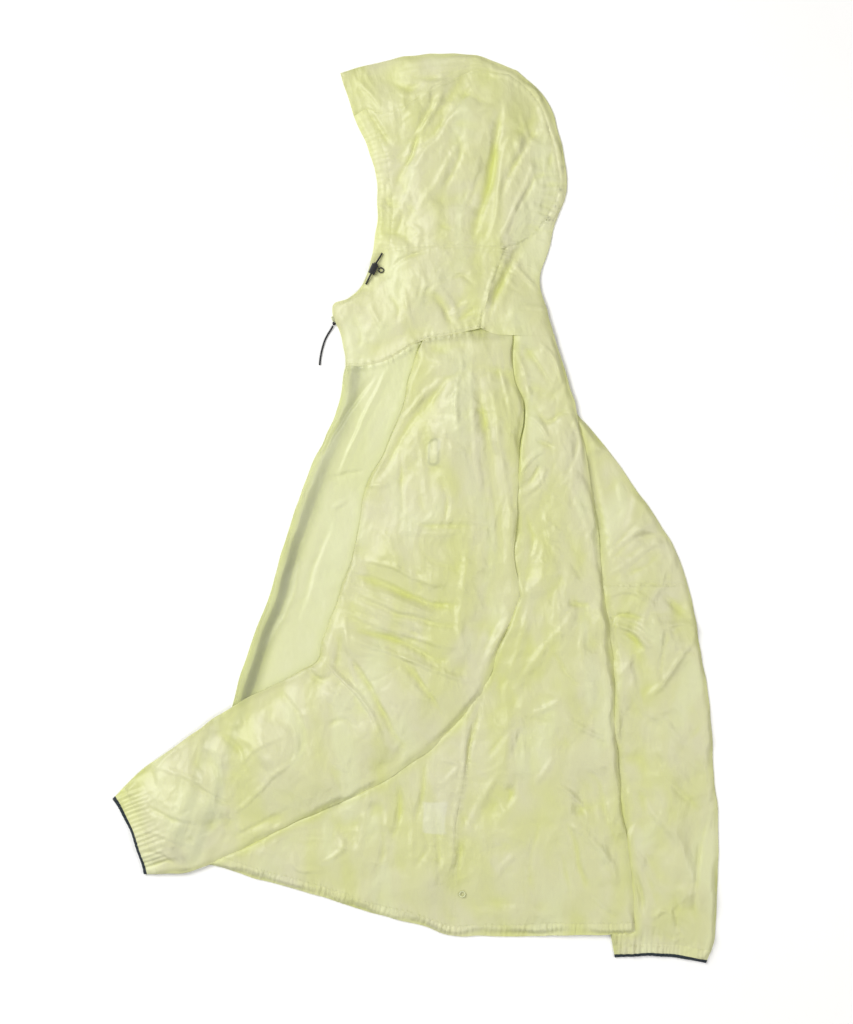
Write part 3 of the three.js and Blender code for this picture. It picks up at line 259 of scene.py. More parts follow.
# Largest folds of the solids, each along a straight line. Rise is below nought in a trough.
FOLDS = {
    "sleeve": [
        [62, 150, 75, 60, 24, -3.5],
        [75, 60, 94, -50, 24, -3.5],
        [94, -50, 74, -175, 26, -3.0],
        [42, 180, 38, 60, 22, 2.6],
        [38, 60, 30, -20, 22, 2.4],
        [48, 150, -8, 100, 20, -2.8],
        [-8, 100, -38, 50, 20, -2.6],
        [-10, 75, -50, 10, 22, 2.6],
        [-66, -72, 44, -108, 22, -3.0],
        [-68, -92, 52, -146, 22, 2.8],
        [-78, -112, 70, -188, 22, -3.0],
        [-80, -126, -26, -192, 20, 2.6],
        [-96, -150, -52, -230, 22, -2.6],
        [-100, -168, -40, -262, 22, 2.4],
        [-150, -215, -75, -300, 24, -2.4],
        [-190, -240, -120, -330, 24, 2.2],
        [-235, -268, -170, -350, 24, -2.2],
        [-270, -292, -225, -380, 20, 2.0],
    ],
    "hood": [
        [72, 478, 30, 445, 22, -2.8],
        [30, 445, 8, 408, 22, -2.6],
        [30, 460, -4, 416, 20, 2.6],
        [-4, 416, -20, 330, 22, -2.6],
        [92, 458, 98, 418, 24, 2.8],
        [98, 418, 72, 305, 24, -3.2],
        [144, 430, 118, 396, 24, -2.8],
        [118, 396, 80, 296, 24, 2.8],
        [133, 388, 98, 334, 22, -2.6],
        [130, 300, 100, 255, 22, -2.4],
        [-10, 262, 60, 230, 24, 2.2],
        [10, 240, 66, 212, 22, -2.0],
    ],
    "body": [
        [-70, 120, -122, -20, 22, 2.0],
        [-122, -20, -165, -150, 24, 2.2],
        [150, 150, 175, 20, 22, 2.4],
        [152, 60, 190, -60, 22, -2.4],
        [130, -60, 200, -200, 24, 2.4],
        [110, -150, 190, -330, 26, -2.4],
        [100, -230, 120, -420, 26, 2.4],
        [62, -250, 52, -400, 22, -2.6],
        [150, -300, 215, -420, 26, 2.2],
        [-20, -330, 20, -420, 26, 2.0],
        [-110, -360, -60, -420, 22, 1.8],
    ],
    "right": [
        [205, -54, 262, -3, 20, 2.8],
        [207, -74, 277, -27, 20, -2.8],
        [212, -119, 262, -148, 22, 2.8],
        [238, -154, 250, -250, 22, -2.6],
        [308, -135, 268, -184, 20, 2.4],
        [262, -250, 292, -400, 24, 2.6],
        [300, -260, 316, -380, 22, -2.4],
        [240, -380, 262, -470, 22, 2.2],
    ],
}
PUFF = {"sleeve": 5, "hood": 5.5, "body": 3, "right": 5}

# Creases, each a bent line: surface, points, half width, rise and sharpness from 0 to 1.
CREASES = [
    # hood side, spreading from the brim seam to the face opening and the nape
    ("hood", [(24.8, 456), (6.1, 416.4), (-6.6, 377.9), (-23.7, 348.2)], 8.8, -2.2, 0.4),
    ("hood", [(33.6, 462.6), (16.6, 428.5), (-0.6, 405.4), (-12.7, 369.5)], 7.7, 1.8, 0.6),
    ("hood", [(46.1, 449.6), (33.6, 415.8), (8.2, 386.7), (-8.7, 344.2), (-23.7, 315.2)], 11, 1.6, 0.4),
    ("hood", [(69.3, 466.4), (41.9, 435.1), (18.7, 405.4)], 7.7, -1.6, 0.5),
    ("hood", [(96.7, 451.6), (90.4, 403.2), (84.2, 357), (71.4, 323.1), (63, 293.6)], 11, -2.8, 0.4),
    ("hood", [(109.5, 415.8), (96.7, 386.3), (92.5, 357), (86.1, 314.7), (79.8, 291.5)], 7.7, 1.8, 0.6),
    ("hood", [(136.7, 422.2), (124.1, 399), (109.3, 373.7), (92.5, 340)], 8.8, -2.2, 0.5),
    ("hood", [(130.4, 377.9), (115.7, 344.2), (102.9, 314.7), (92.5, 293.6)], 8.8, 1.8, 0.5),
    ("hood", [(134.6, 369.5), (117.8, 337.9), (109.3, 321), (102.9, 295.7)], 5.5, -1.3, 0.8),
    ("hood", [(-46.8, 435.1), (-23.7, 396.9)], 4.4, -1.3, 0.8),
    ("hood", [(-49, 443.2), (-29.7, 411.6)], 4.4, 1.1, 0.8),
    ("hood", [(69.3, 432.9), (86.1, 443.2)], 6.6, 1.4, 0.6),
    ("hood", [(58.9, 415.8), (41.9, 390.6), (25.1, 357), (6.1, 331.7), (-6.6, 308.6)], 9.9, 1.3, 0.5),
    ("hood", [(52.3, 409.8), (46.1, 377.9), (29.2, 344.2)], 9.9, -1.2, 0.4),
    ("hood", [(-8.7, 313), (6.1, 304.2), (-4.4, 295.7)], 5.5, 1.1, 0.7),
    ("hood", [(24.8, 315.2), (41.9, 306.4)], 6.6, -1.3, 0.7),
    ("hood", [(72.1, 394.4), (65.5, 361.4), (52.3, 328.4)], 6.6, 1, 0.6),
    ("hood", [(116.1, 436.2), (127.1, 405.4), (143.6, 394.4)], 5.5, 1.1, 0.8),
    ("hood", [(148, 418.6), (151.2, 394.4), (144.7, 370.2)], 5.5, -1.2, 0.7),
    ("hood", [(-18.2, 339.4), (-13.8, 321.8), (-20.4, 299.8)], 5.5, -1.2, 0.6),
    # brim
    ("hood", [(-29.7, 476.9), (23, 483.5), (86.1, 487.9)], 6.6, 1.1, 0.5),
    ("hood", [(-4.4, 474.9), (25.1, 472.8), (41.9, 476.9)], 7.7, -1.4, 0.5),
    ("hood", [(-29.7, 470.7), (-4.4, 462.6), (8.2, 468.5)], 6.6, -1.1, 0.6),
    ("hood", [(-64.4, 467), (-46.8, 453.8), (-38, 440.6)], 6.6, 1, 0.6),
    ("hood", [(-20.4, 458.2), (-5, 452.7), (17.1, 456)], 5.5, 1.2, 0.7),
    # neck and nape
    ("hood", [(-29.7, 251.4), (-19.2, 268.3), (-2.3, 278.9), (25.1, 285.5)], 6.6, -1.3, 0.6),
    ("hood", [(20.8, 237.1), (31.4, 222), (41.9, 200.9)], 7.7, -2, 0.5),
    ("hood", [(27, 240.9), (41.9, 222), (48.3, 198.8)], 6.6, 1.6, 0.6),
    ("hood", [(-12.9, 243.1), (-8.7, 217.8), (-0.2, 196.7)], 6.6, 1.3, 0.6),
    ("hood", [(37.7, 247.3), (50.4, 255.8), (67.2, 245.2)], 6.6, -1.5, 0.6),
    ("hood", [(132.6, 300), (113.5, 276.7), (96.7, 247.3), (86.1, 224.1), (82, 205.2)], 9.9, -3.6, 0.5),
    ("hood", [(90.4, 266.2), (82, 240.9), (77.8, 205.2)], 5.5, 1.8, 0.7),
    ("hood", [(117.8, 222), (145.2, 219.9)], 5.5, 1.3, 0.7),
    ("hood", [(41.9, 211.4), (58.9, 224.1)], 3.9, 1.3, 0.9),
    ("hood", [(46.1, 205.2), (67.2, 219.9)], 3.9, -1.3, 0.9),
    ("hood", [(54.5, 203), (71.4, 213.5)], 3.9, 1.2, 0.9),
    ("hood", [(-51.2, 224.1), (-38.2, 200.9), (-29.7, 205.2)], 5.5, 1.3, 0.7),
    ("hood", [(-27, 233.8), (-18.2, 222.8), (-20.4, 205.2)], 6.6, -1.1, 0.6),
    ("hood", [(1.7, 260.2), (10.5, 247), (6.1, 229.4)], 6.6, 1, 0.6),
    ("hood", [(-68.8, 209.6), (-57.8, 194.2), (-60, 176.6)], 5.5, -1.1, 0.6),
    ("hood", [(107.3, 271.2), (120.5, 255.8), (133.7, 238.2)], 6.6, 1.3, 0.6),
    ("hood", [(-71, 229.4), (-53.4, 209.6)], 5.5, 1, 0.7),
    # left sleeve from its head to the elbow
    (
        "sleeve",
        [(68.8, 151.2), (73.8, 108.4), (83.8, 65.5), (92.7, 4.4), (96.3, -51.2), (94.1, -106.7), (71, -177.7)],
        11,
        -3.2,
        0.4,
    ),
    ("sleeve", [(83.8, 133.7), (91.4, 83.1), (101.5, 19.6), (106.6, -56.2)], 7.7, 1.5, 0.5),
    ("sleeve", [(48.5, 173.6), (51, 153.5), (43.5, 113), (48.5, 75.4)], 6.6, 1.6, 0.6),
    ("sleeve", [(33.3, 118.3), (48.5, 135.9), (51, 156)], 6.6, -1.5, 0.7),
    ("sleeve", [(48.5, 151.2), (13.1, 113), (-9.6, 85.2), (-42.4, 24.8)], 8.8, -1.8, 0.6),
    ("sleeve", [(33.3, 143.6), (8, 123.1), (-14.9, 95.4)], 7.7, 1.6, 0.6),
    ("sleeve", [(-19.7, 90.8), (-29.8, 65.5), (-52.6, 22.6), (-62.6, -18.2), (-70.2, -66.3)], 5.5, 1, 0.7),
    ("sleeve", [(-14.9, 83.1), (-14.9, 40.2), (-12.1, -10.5)], 6.6, -1.1, 0.5),
    ("sleeve", [(30.8, 34.7), (35.8, 4.4), (30.8, -20.9)], 6.6, -1.8, 0.6),
    ("sleeve", [(-14.9, -10.5), (13.1, -18.2), (38.4, -18.2), (83.8, -20.9)], 6.6, -1.5, 0.6),
    ("sleeve", [(-17.1, -25.9), (33.3, -28.1), (48.5, -25.9)], 5.5, 1.3, 0.6),
    ("sleeve", [(-34.9, -23.4), (-22.6, -51.2), (-17.1, -81.5)], 8.8, 1.2, 0.5),
    ("sleeve", [(5.6, -35.8), (18.2, -56.2), (38.4, -61.1)], 6.6, -1.1, 0.6),
    ("sleeve", [(3.9, 75.4), (10.5, 31.4), (12.7, -3.9)], 8.8, 1.1, 0.4),
    ("sleeve", [(61.1, 119.4), (65.5, 75.4), (72.1, 9.4)], 8.8, 1.2, 0.4),
    ("sleeve", [(58.6, -31), (53.4, -81.5), (48.5, -132), (66.2, -177.4)], 11, 1.6, 0.5),
    ("sleeve", [(-7.2, 171.1), (-14.9, 145.8), (-9.6, 102.9)], 5.5, -1.8, 0.7),
    ("sleeve", [(-52.3, 22.6), (-27, 24.8)], 4.4, 1.2, 0.8),
    ("sleeve", [(91.9, 172.2), (97.4, 141.4), (106.2, 97.4)], 6.6, 1.2, 0.5),
    # folds fanning out from the front of the elbow
    ("sleeve", [(-70.2, -71.4), (-42.4, -78.7), (-9.6, -94.1), (13.1, -101.8), (48.5, -106.7)], 8.8, -2.6, 0.5),
    ("sleeve", [(-67.7, -86.4), (-34.9, -94.1), (-2, -109.2), (28.1, -116.8)], 6.6, 2, 0.7),
    ("sleeve", [(-70.2, -91.6), (-47.9, -101.8), (-17.1, -116.8), (8, -121.6), (48.5, -129.2)], 8.8, -2.8, 0.5),
    ("sleeve", [(-83.1, -111.7), (-55.1, -121.6), (-17.1, -137), (20.4, -146.9), (48.5, -152.4)], 6.6, 2, 0.7),
    ("sleeve", [(-67.7, -132), (-32.5, -139.6), (8, -157.3), (38.4, -167.4)], 7.7, -2.2, 0.6),
    ("sleeve", [(-75.4, -116.8), (-72.7, -157.3), (-65.5, -197.5)], 6.6, 1.6, 0.7),
    ("sleeve", [(-77.8, -132), (-83.1, -162.2), (-87.9, -182.5)], 6.6, -1.6, 0.6),
    ("sleeve", [(-9.6, -164.9), (2.8, -182.1), (13.1, -197.5)], 6.6, -1.4, 0.6),
    ("sleeve", [(-60, -56.7), (-29.2, -63.3), (6.1, -78.7), (34.7, -85.2)], 6.6, 1.3, 0.6),
    ("sleeve", [(-46.8, -107.3), (-38, -122.7), (-24.8, -131.5)], 4.4, 1.1, 0.8),
    # forearm
    ("sleeve", [(-104, -163), (-82.6, -184.1), (-53.6, -218.4), (-30.3, -263.1)], 6.6, 2.4, 0.8),
    ("sleeve", [(-77.6, -152.4), (-56.7, -184.1), (-30.3, -231.6), (-9.4, -263.1)], 8.8, -2, 0.5),
    ("sleeve", [(-24.8, -149.9), (-9.4, -173.2), (9.4, -194.7), (35.8, -231.6)], 8.8, -1.6, 0.5),
    ("sleeve", [(-61.5, -144.7), (-11.6, -165.6), (28.1, -178.8), (64.8, -192)], 6.6, 2.2, 0.8),
    ("sleeve", [(-119.4, -168.3), (-104, -186.5), (-87.8, -181.5)], 9.9, -1.8, 0.5),
    ("sleeve", [(-98.5, -239.3), (-77.6, -231.6), (-61.5, -249.9)], 6.6, -1.4, 0.7),
    ("sleeve", [(-93, -259.1), (-86.4, -278.9), (-71, -289.9)], 5.5, 1.1, 0.7),
    ("sleeve", [(-190.9, -281.5), (-172.2, -263.1), (-140.5, -249.9)], 7.7, 1.2, 0.6),
    ("sleeve", [(-198.6, -333.9), (-172.2, -313), (-151.2, -292.1), (-119.4, -265.7)], 6.6, 1.4, 0.7),
    ("sleeve", [(-245.9, -299.8), (-225, -313), (-203.6, -323.6)], 6.6, -1.6, 0.8),
    ("sleeve", [(-293.2, -326.2), (-261.5, -341.6), (-235.2, -347.1)], 5.5, -1.4, 0.8),
    ("sleeve", [(-298.7, -376.2), (-277.8, -379), (-261.5, -389.4)], 5.5, -1.2, 0.8),
    ("sleeve", [(-277.8, -284.1), (-253.6, -292.1), (-229.9, -302.5)], 6.6, 1.4, 0.7),
    ("sleeve", [(-295.4, -353.7), (-269, -360.3), (-240.4, -371.3)], 5.5, 1.2, 0.8),
    ("sleeve", [(-220.6, -243.7), (-192, -263.5), (-178.8, -294.2)], 8.8, -1.3, 0.5),
    ("sleeve", [(-148, -199.7), (-126, -228.3), (-119.4, -259.1)], 9.9, -1.3, 0.4),
    ("sleeve", [(-200.8, -362.5), (-167.8, -344.9), (-134.8, -327.2)], 7.7, -1.2, 0.6),
    # near front beside the sleeve
    ("body", [(-93, 34.7), (-55.6, 40.2)], 5.5, -1.2, 0.6),
    ("body", [(-93, -0.6), (-73.2, 9.4)], 5.5, 1.1, 0.6),
    ("body", [(-40.2, 151.2), (-67.7, 113), (-93, 77.6), (-106.2, 51.2)], 7.7, -1.5, 0.5),
    ("body", [(-24.8, 163.4), (-46.8, 117.2), (-68.8, 68.8), (-84.2, 31.4)], 8.8, 1.3, 0.4),
    ("body", [(-126, -56.7), (-137, -100.7), (-161.2, -155.7)], 8.8, 1.2, 0.4),
    ("body", [(-93, -12.7), (-106.2, -56.7), (-130.4, -122.7)], 9.9, -1.2, 0.4),
    ("body", [(-112.8, 75.4), (-130.4, 9.4), (-152.4, -56.7)], 7.7, 1.2, 0.5),
    # near front and side seam below the sleeve
    ("body", [(12.2, -270.9), (9.4, -313), (1.7, -344.6)], 7.7, -2, 0.6),
    ("body", [(-19.4, -292.1), (-17.1, -328.9), (-24.8, -370.9)], 8.8, -1.6, 0.5),
    ("body", [(-51.2, -313), (-56.7, -349.9), (-61.5, -381.2)], 8.8, 1.5, 0.5),
    ("body", [(28.1, -276.2), (46.4, -281.5), (28.1, -302.5)], 5.5, 1.6, 0.8),
    ("body", [(-1, -394.4), (14.9, -370.9), (9.4, -355.2)], 6.6, -1.6, 0.7),
    ("body", [(-87.8, -352.6), (-77.6, -370.9), (-104, -392.2)], 7.7, 1.5, 0.7),
    ("body", [(-135.2, -376.2), (-129.9, -397.3), (-104, -399.9)], 6.6, 1.2, 0.7),
    ("body", [(62.2, -205.2), (54.3, -263.1), (46.4, -328.9), (41.1, -381.2)], 5.5, 1.8, 0.7),
    ("body", [(73.8, -199.3), (69.4, -232), (60.7, -264.6), (56.3, -297.3)], 6.6, -2.2, 0.5),
    ("body", [(54.2, -362.5), (48.7, -395.5), (49.8, -414.9)], 6.6, -3, 0.5),
    ("body", [(-38, -320.7), (-33.6, -364.7), (-40.2, -408.7)], 6.6, -1.2, 0.5),
    ("body", [(23.7, -320.7), (28.1, -375.7), (23.7, -430.7)], 7.7, -1.4, 0.5),
    ("body", [(-11.6, -298.7), (-2.8, -353.7), (-7.2, -408.7)], 6.6, 1.3, 0.6),
    # near back from the neck to the underarm
    ("body", [(119.4, 119.4), (119.4, 102.2), (115.5, 65.9), (113.3, 38)], 6.6, -3.6, 0.4),
    ("body", [(113.3, 33.8), (126, 53.4), (143.2, 65.9)], 4.4, 2, 0.8),
    ("body", [(111.2, 18.8), (128.2, 33.8), (136.8, 49)], 4.4, -1.8, 0.8),
    ("body", [(115.5, 12.3), (134.8, 25.2), (145.4, 42.4)], 4.4, 1.8, 0.8),
    ("body", [(132.6, 76.5), (154, 68)], 5.5, -2, 0.8),
    ("body", [(121.6, 102.2), (137, 91.9), (149.7, 72.3)], 6.6, 1.6, 0.6),
    ("body", [(134.8, 106.5), (145.4, 95.8), (164.5, 106.5), (179.6, 102.2)], 6.6, -1.6, 0.6),
    ("body", [(166.7, 97.9), (179.6, 76.5), (175.5, 55.1), (164.5, 29.5)], 8.8, -1.3, 0.5),
    ("body", [(143.2, -0.6), (147.5, -30.3), (162.2, -56.1)], 8.8, 1.4, 0.5),
    ("body", [(119.4, -0.6), (130.4, -30.3), (121.6, -73.2)], 9.9, -1.5, 0.5),
    ("body", [(117.2, 181), (138.1, 154.6), (155.7, 128.2)], 7.7, -1.4, 0.5),
    ("body", [(127.1, 187.6), (151.2, 167.8), (162.2, 137)], 6.6, 1.4, 0.6),
    ("body", [(111.7, 174.4), (122.7, 141.4), (127.1, 115)], 6.6, 1.3, 0.6),
    ("body", [(171.1, 31.4), (186.5, -12.7), (195.3, -56.7)], 7.7, 1.1, 0.5),
    # near back below the underarm
    ("body", [(171.1, -111.7), (158.3, -124.6)], 5.5, -2, 0.8),
    ("body", [(166.7, -103.2), (192.5, -105.4)], 5.5, -1.8, 0.8),
    ("body", [(177.5, -107.3), (166.7, -126.7), (136.8, -158.8), (106.9, -201.6)], 9.9, 1.7, 0.6),
    ("body", [(186.1, -116.1), (183.9, -158.8), (193.1, -210.7)], 8.8, 1.2, 0.5),
    ("body", [(156.1, -158.8), (166.7, -180.3), (179.6, -197.5)], 7.7, -1.5, 0.6),
    ("body", [(158.7, -212.4), (145.6, -218.9), (132.6, -225.5)], 7.7, 1.7, 0.7),
    ("body", [(167.4, -229.8), (184.9, -240.7), (210.7, -253.6)], 7.7, 1.7, 0.7),
    ("body", [(187.1, -288.6), (200.1, -297.3), (208.9, -332.2), (223.9, -371.3)], 8.8, -2, 0.6),
    ("body", [(154.4, -301.7), (176.2, -319.1), (191.4, -336.6)], 6.6, 2, 0.8),
    ("body", [(165.3, -340.9), (176.2, -362.5), (180.5, -386.7), (189.2, -417.1)], 8.8, -2.6, 0.6),
    ("body", [(171.8, -345.3), (193.6, -362.5), (215.1, -393.3), (221.7, -417.1)], 9.9, 2, 0.5),
    ("body", [(163.1, -375.7), (167.4, -406.2), (171.8, -428)], 8.8, -1.5, 0.5),
    ("body", [(93.4, -288.6), (76, -314.8), (56.3, -358.1)], 9.9, 1.9, 0.5),
    ("body", [(104, -280), (110.6, -297.3), (99.6, -332.2)], 11, -1.5, 0.4),
    ("body", [(154.4, -269), (141.4, -286.6), (132.6, -301.7)], 6.6, 1.4, 0.7),
    ("body", [(86.9, -410.6), (97.8, -393.3), (110.6, -380.1)], 7.7, 1.2, 0.6),
    ("body", [(193.6, -423.7), (208.9, -441.1), (223.9, -449.8)], 5.5, -1.5, 0.8),
    ("body", [(102.9, -56.7), (94.1, -122.7), (85.2, -166.7)], 8.8, -1.5, 0.5),
    ("body", [(127.1, -89.7), (116.1, -144.7), (94.1, -210.7)], 9.9, 1.3, 0.4),
    ("body", [(204.1, -122.7), (210.7, -210.7), (219.5, -298.7)], 7.7, 1.3, 0.5),
    ("body", [(116.1, -232.7), (94.1, -254.7), (78.7, -276.7)], 8.8, -1.3, 0.5),
    ("body", [(138.1, -342.7), (127.1, -386.7), (131.5, -430.7)], 9.9, -1.2, 0.4),
    # right sleeve where it shows past the back
    ("right", [(207.4, -54), (239.3, -21.9), (261, -4.7)], 4.4, -1.8, 0.9),
    ("right", [(214, -58.3), (243.7, -32.5), (271.7, -28.1)], 7.7, -1.8, 0.5),
    ("right", [(214, -73.2), (239.3, -58.3), (267.4, -39.1), (280, -47.6)], 4.4, 2, 0.8),
    ("right", [(231, -73.2), (254.5, -62.6), (271.7, -47.6)], 5.5, -1.7, 0.7),
    ("right", [(214, -96.8), (231, -90.4), (252.5, -98.9), (265.2, -113.9)], 5.5, 2, 0.7),
    ("right", [(214, -122.4), (226.7, -116.1), (252.5, -122.4)], 5.5, -2.6, 0.6),
    ("right", [(216, -126.7), (239.3, -135.3), (261, -152.4)], 4.4, 2.2, 0.9),
    ("right", [(222.4, -128.9), (243.7, -143.9), (254.5, -156.8)], 4.4, -2, 0.8),
    ("right", [(226.7, -123.8), (250.3, -132.6), (265.2, -145.8)], 3.9, -1.4, 0.8),
    ("right", [(241.5, -158.8), (231, -173.8), (222.4, -186.5)], 3.9, 2, 0.9),
    ("right", [(271.7, -92.5), (286.6, -107.3), (308.1, -124.6)], 8.8, -1.8, 0.5),
    ("right", [(275.6, -128.9), (295.2, -126.7), (312.3, -137.5)], 5.5, 1.8, 0.7),
    ("right", [(277.8, -128.9), (275.6, -158.8), (271.7, -188.7)], 6.6, -1.5, 0.6),
    ("right", [(310.2, -137.5), (291, -165.3), (275.6, -188.7), (252.5, -210.2)], 5.5, 2.2, 0.7),
    ("right", [(189.8, 80.9), (198.6, 33.8), (207.4, -19.8), (211.8, -58.3)], 7.7, -2.8, 0.4),
    ("right", [(215.1, -102.9), (216.2, -120.5), (221.7, -176)], 7.7, -3.2, 0.4),
    ("right", [(221.7, -205.8), (229.4, -227.6), (228.3, -264.6)], 7.7, -2, 0.5),
    ("right", [(234.9, -179.7), (248.1, -218.9), (274.2, -238.5), (298.1, -262.4)], 8.8, 1.7, 0.5),
    ("right", [(309, -277.8), (322.9, -282.2), (326.2, -301.7)], 4.4, -1.6, 0.8),
    ("right", [(250.3, -306), (259.1, -330), (285.1, -358.1), (305.2, -408.7)], 11, 2, 0.5),
    ("right", [(237.1, -362.5), (248.1, -384.5), (265.4, -410.6), (278.5, -423.7)], 8.8, 1.7, 0.5),
    ("right", [(239.3, -397.5), (248.1, -423.7), (250.3, -447.6)], 7.7, -3.4, 0.4),
    ("right", [(285.1, -436.7), (289.4, -456.4), (295.4, -471.4)], 5.5, -1.6, 0.7),
    ("right", [(259.1, -449.8), (274.2, -441.1), (285.1, -449.8)], 6.6, 1.7, 0.7),
    ("right", [(319.6, -342.7), (311.2, -397.7), (306.4, -452.7)], 6.6, -1.5, 0.5),
    ("right", [(228.3, -463.7), (241.5, -481.3)], 3.9, 1.6, 0.8),
    ("right", [(259.1, -254.7), (278.9, -298.7), (314.1, -331.7)], 9.9, -1.5, 0.4),
    ("right", [(228.3, -287.7), (234.9, -320.7), (237.1, -353.7)], 7.7, -1.6, 0.5),
    ("right", [(248.1, 42.4), (243.7, 9.4), (234.9, -12.7)], 8.8, 1.2, 0.4),
    ("right", [(209.6, 69.9), (223.9, 31.4), (228.3, -12.7)], 7.7, 1.2, 0.5),
]

# Patches of small creases: surface, middle, radius, heading in degrees, spread, count, length, rise.
PATCHES = [
    ("hood", (40, 420), 70, 60, 30, 34, 34, 0.55),
    ("hood", (60, 350), 80, 75, 45, 42, 30, 0.6),
    ("hood", (130, 370), 50, 110, 50, 30, 26, 0.7),
    ("hood", (0, 330), 40, 80, 40, 16, 26, 0.45),
    ("hood", (30, 240), 60, 20, 50, 34, 22, 0.6),
    ("hood", (-50, 200), 40, 30, 60, 24, 18, 0.55),
    ("hood", (110, 270), 35, 110, 50, 20, 24, 0.7),
    ("hood", (20, 486), 80, 10, 40, 22, 22, 0.4),
    ("sleeve", (50, 120), 70, 95, 40, 40, 34, 0.55),
    ("sleeve", (10, 20), 80, 80, 60, 46, 30, 0.5),
    ("sleeve", (70, -60), 60, 100, 40, 26, 30, 0.6),
    ("sleeve", (-30, -110), 70, -25, 30, 44, 34, 0.75),
    ("sleeve", (20, -160), 70, -30, 40, 36, 32, 0.65),
    ("sleeve", (-70, -200), 60, -60, 40, 38, 28, 0.7),
    ("sleeve", (-40, -260), 60, -50, 50, 26, 28, 0.55),
    ("sleeve", (-170, -280), 80, -65, 60, 44, 26, 0.6),
    ("sleeve", (-260, -330), 60, -60, 50, 40, 20, 0.65),
    ("body", (-120, 20), 90, 65, 30, 20, 34, 0.35),
    ("body", (-180, -150), 70, 65, 30, 14, 30, 0.35),
    ("body", (150, 110), 70, 115, 50, 40, 28, 0.7),
    ("body", (160, 0), 70, 130, 50, 40, 30, 0.7),
    ("body", (160, -120), 80, 120, 50, 40, 32, 0.6),
    ("body", (140, -240), 90, 110, 45, 44, 34, 0.6),
    ("body", (80, -330), 90, 95, 50, 46, 32, 0.55),
    ("body", (190, -380), 70, 110, 50, 30, 30, 0.5),
    ("body", (-60, -380), 110, 80, 60, 30, 28, 0.45),
    ("right", (262, -20), 60, 45, 40, 36, 28, 0.75),
    ("right", (262, -120), 60, 20, 60, 40, 26, 0.8),
    ("right", (290, -220), 70, 100, 50, 34, 32, 0.6),
    ("right", (290, -340), 80, 100, 50, 36, 32, 0.55),
    ("right", (280, -450), 50, 95, 40, 34, 22, 0.6),
]
PATCH_SEED = 41
CREASE_GAIN, CREASE_WIDTH = 1.45, 0.66

rng = np.random.default_rng(PATCH_SEED)


# Curves and distances.


def curve(points, count, start=0.0, end=1.0):
    """Points at equal steps along a centripetal Catmull-Rom spline."""
    p = np.asarray(points, float)
    ends = np.vstack([2 * p[0] - p[1], p, 2 * p[-1] - p[-2]])
    t = np.linspace(start, end, count + 1) * (len(p) - 1)
    i = np.clip(t.astype(int), 0, len(p) - 2)
    w = (t - i)[:, None]
    p0, p1, p2, p3 = (ends[i + k] for k in range(4))

    def knot(a, b):
        return np.maximum(np.sum((a - b) ** 2, 1) ** 0.25, 1e-4)[:, None]

    d0, d1, d2 = knot(p0, p1), knot(p1, p2), knot(p2, p3)
    t1 = ((p1 - p0) / d0 - (p2 - p0) / (d0 + d1) + (p2 - p1) / d1) * d1
    t2 = ((p2 - p1) / d1 - (p3 - p1) / (d1 + d2) + (p3 - p2) / d2) * d1
    square = 3 * (p2 - p1) - 2 * t1 - t2
    cube = 2 * (p1 - p2) + t1 + t2
    return p1 + t1 * w + square * w**2 + cube * w**3


def line_of(tab, key=""):
    """The points of one column pair of a table."""
    return np.stack([tab[f"{key}x"], tab[f"{key}y"]], 1)


def smooth(low, high, value):
    t = np.clip((value - low) / (high - low), 0, 1)
    return t * t * (3 - 2 * t)


def segment_distance(x, y, a, b):
    """Distance to a segment, the share along it, and the side as a sign."""
    dx, dy = b[0] - a[0], b[1] - a[1]
    square = max(dx * dx + dy * dy, 1e-9)
    share = np.clip(((x - a[0]) * dx + (y - a[1]) * dy) / square, 0, 1)
    off_x, off_y = x - a[0] - share * dx, y - a[1] - share * dy
    return np.hypot(off_x, off_y), share, np.sign(dx * off_y - dy * off_x)


def inside_distance(outline, x, y):
    """Distance to a closed outline, below nought outside it."""
    nearest = np.full(x.shape, 1e9)
    inside = np.zeros(x.shape, bool)
    for a, b in zip(outline, np.roll(outline, -1, 0)):
        nearest = np.minimum(nearest, segment_distance(x, y, a, b)[0])
        if a[1] != b[1]:
            cut = (b[0] - a[0]) * (y - a[1]) / (b[1] - a[1]) + a[0]
            inside ^= ((a[1] > y) != (b[1] > y)) & (x < cut)
    return np.where(inside, nearest, -nearest)


def outline_of(tab, *ends):
    return np.vstack([line_of(tab, "front_"), *[[e] for e in ends], line_of(tab, "back_")[::-1]])


# Height maps of the cloth's layers.

xs = np.arange(MAP_X[0], MAP_X[1] + STEP, STEP)
ys = np.arange(MAP_Y[0], MAP_Y[1] + STEP, STEP)
GX, GY = np.meshgrid(xs, ys)

body_outline = outline_of(BODY, HEM_FRONT, HEM_SIDE, HEM_BACK)
garment_outline = np.vstack(
    [
        body_outline,
        line_of(CROWN_NAPE)[::-1],
        line_of(CROWN_BACK)[::-1][1:],
        line_of(CROWN_BRIM)[::-1][1:],
        line_of(CASING, "front_")[::-1],
        line_of(NECK, "front_")[::-1],
    ]
)
left_outline = outline_of(LEFT_SLEEVE, *LEFT_CUFF)
right_outline = outline_of(RIGHT_SLEEVE, *RIGHT_CUFF)


MAP_STRIDE = 4


def wide_map(outline):
    """An inside distance worked out on every fourth point and spread between them."""
    coarse_x, coarse_y = xs[::MAP_STRIDE], ys[::MAP_STRIDE]
    cx, cy = np.meshgrid(coarse_x, coarse_y)
    found = inside_distance(outline, cx, cy)
    rows = np.array([np.interp(xs, coarse_x, row) for row in found])
    return np.array([np.interp(ys, coarse_y, column) for column in rows.T]).T


in_body, in_garment = wide_map(body_outline), wide_map(garment_outline)
in_left, in_right = wide_map(left_outline), wide_map(right_outline)


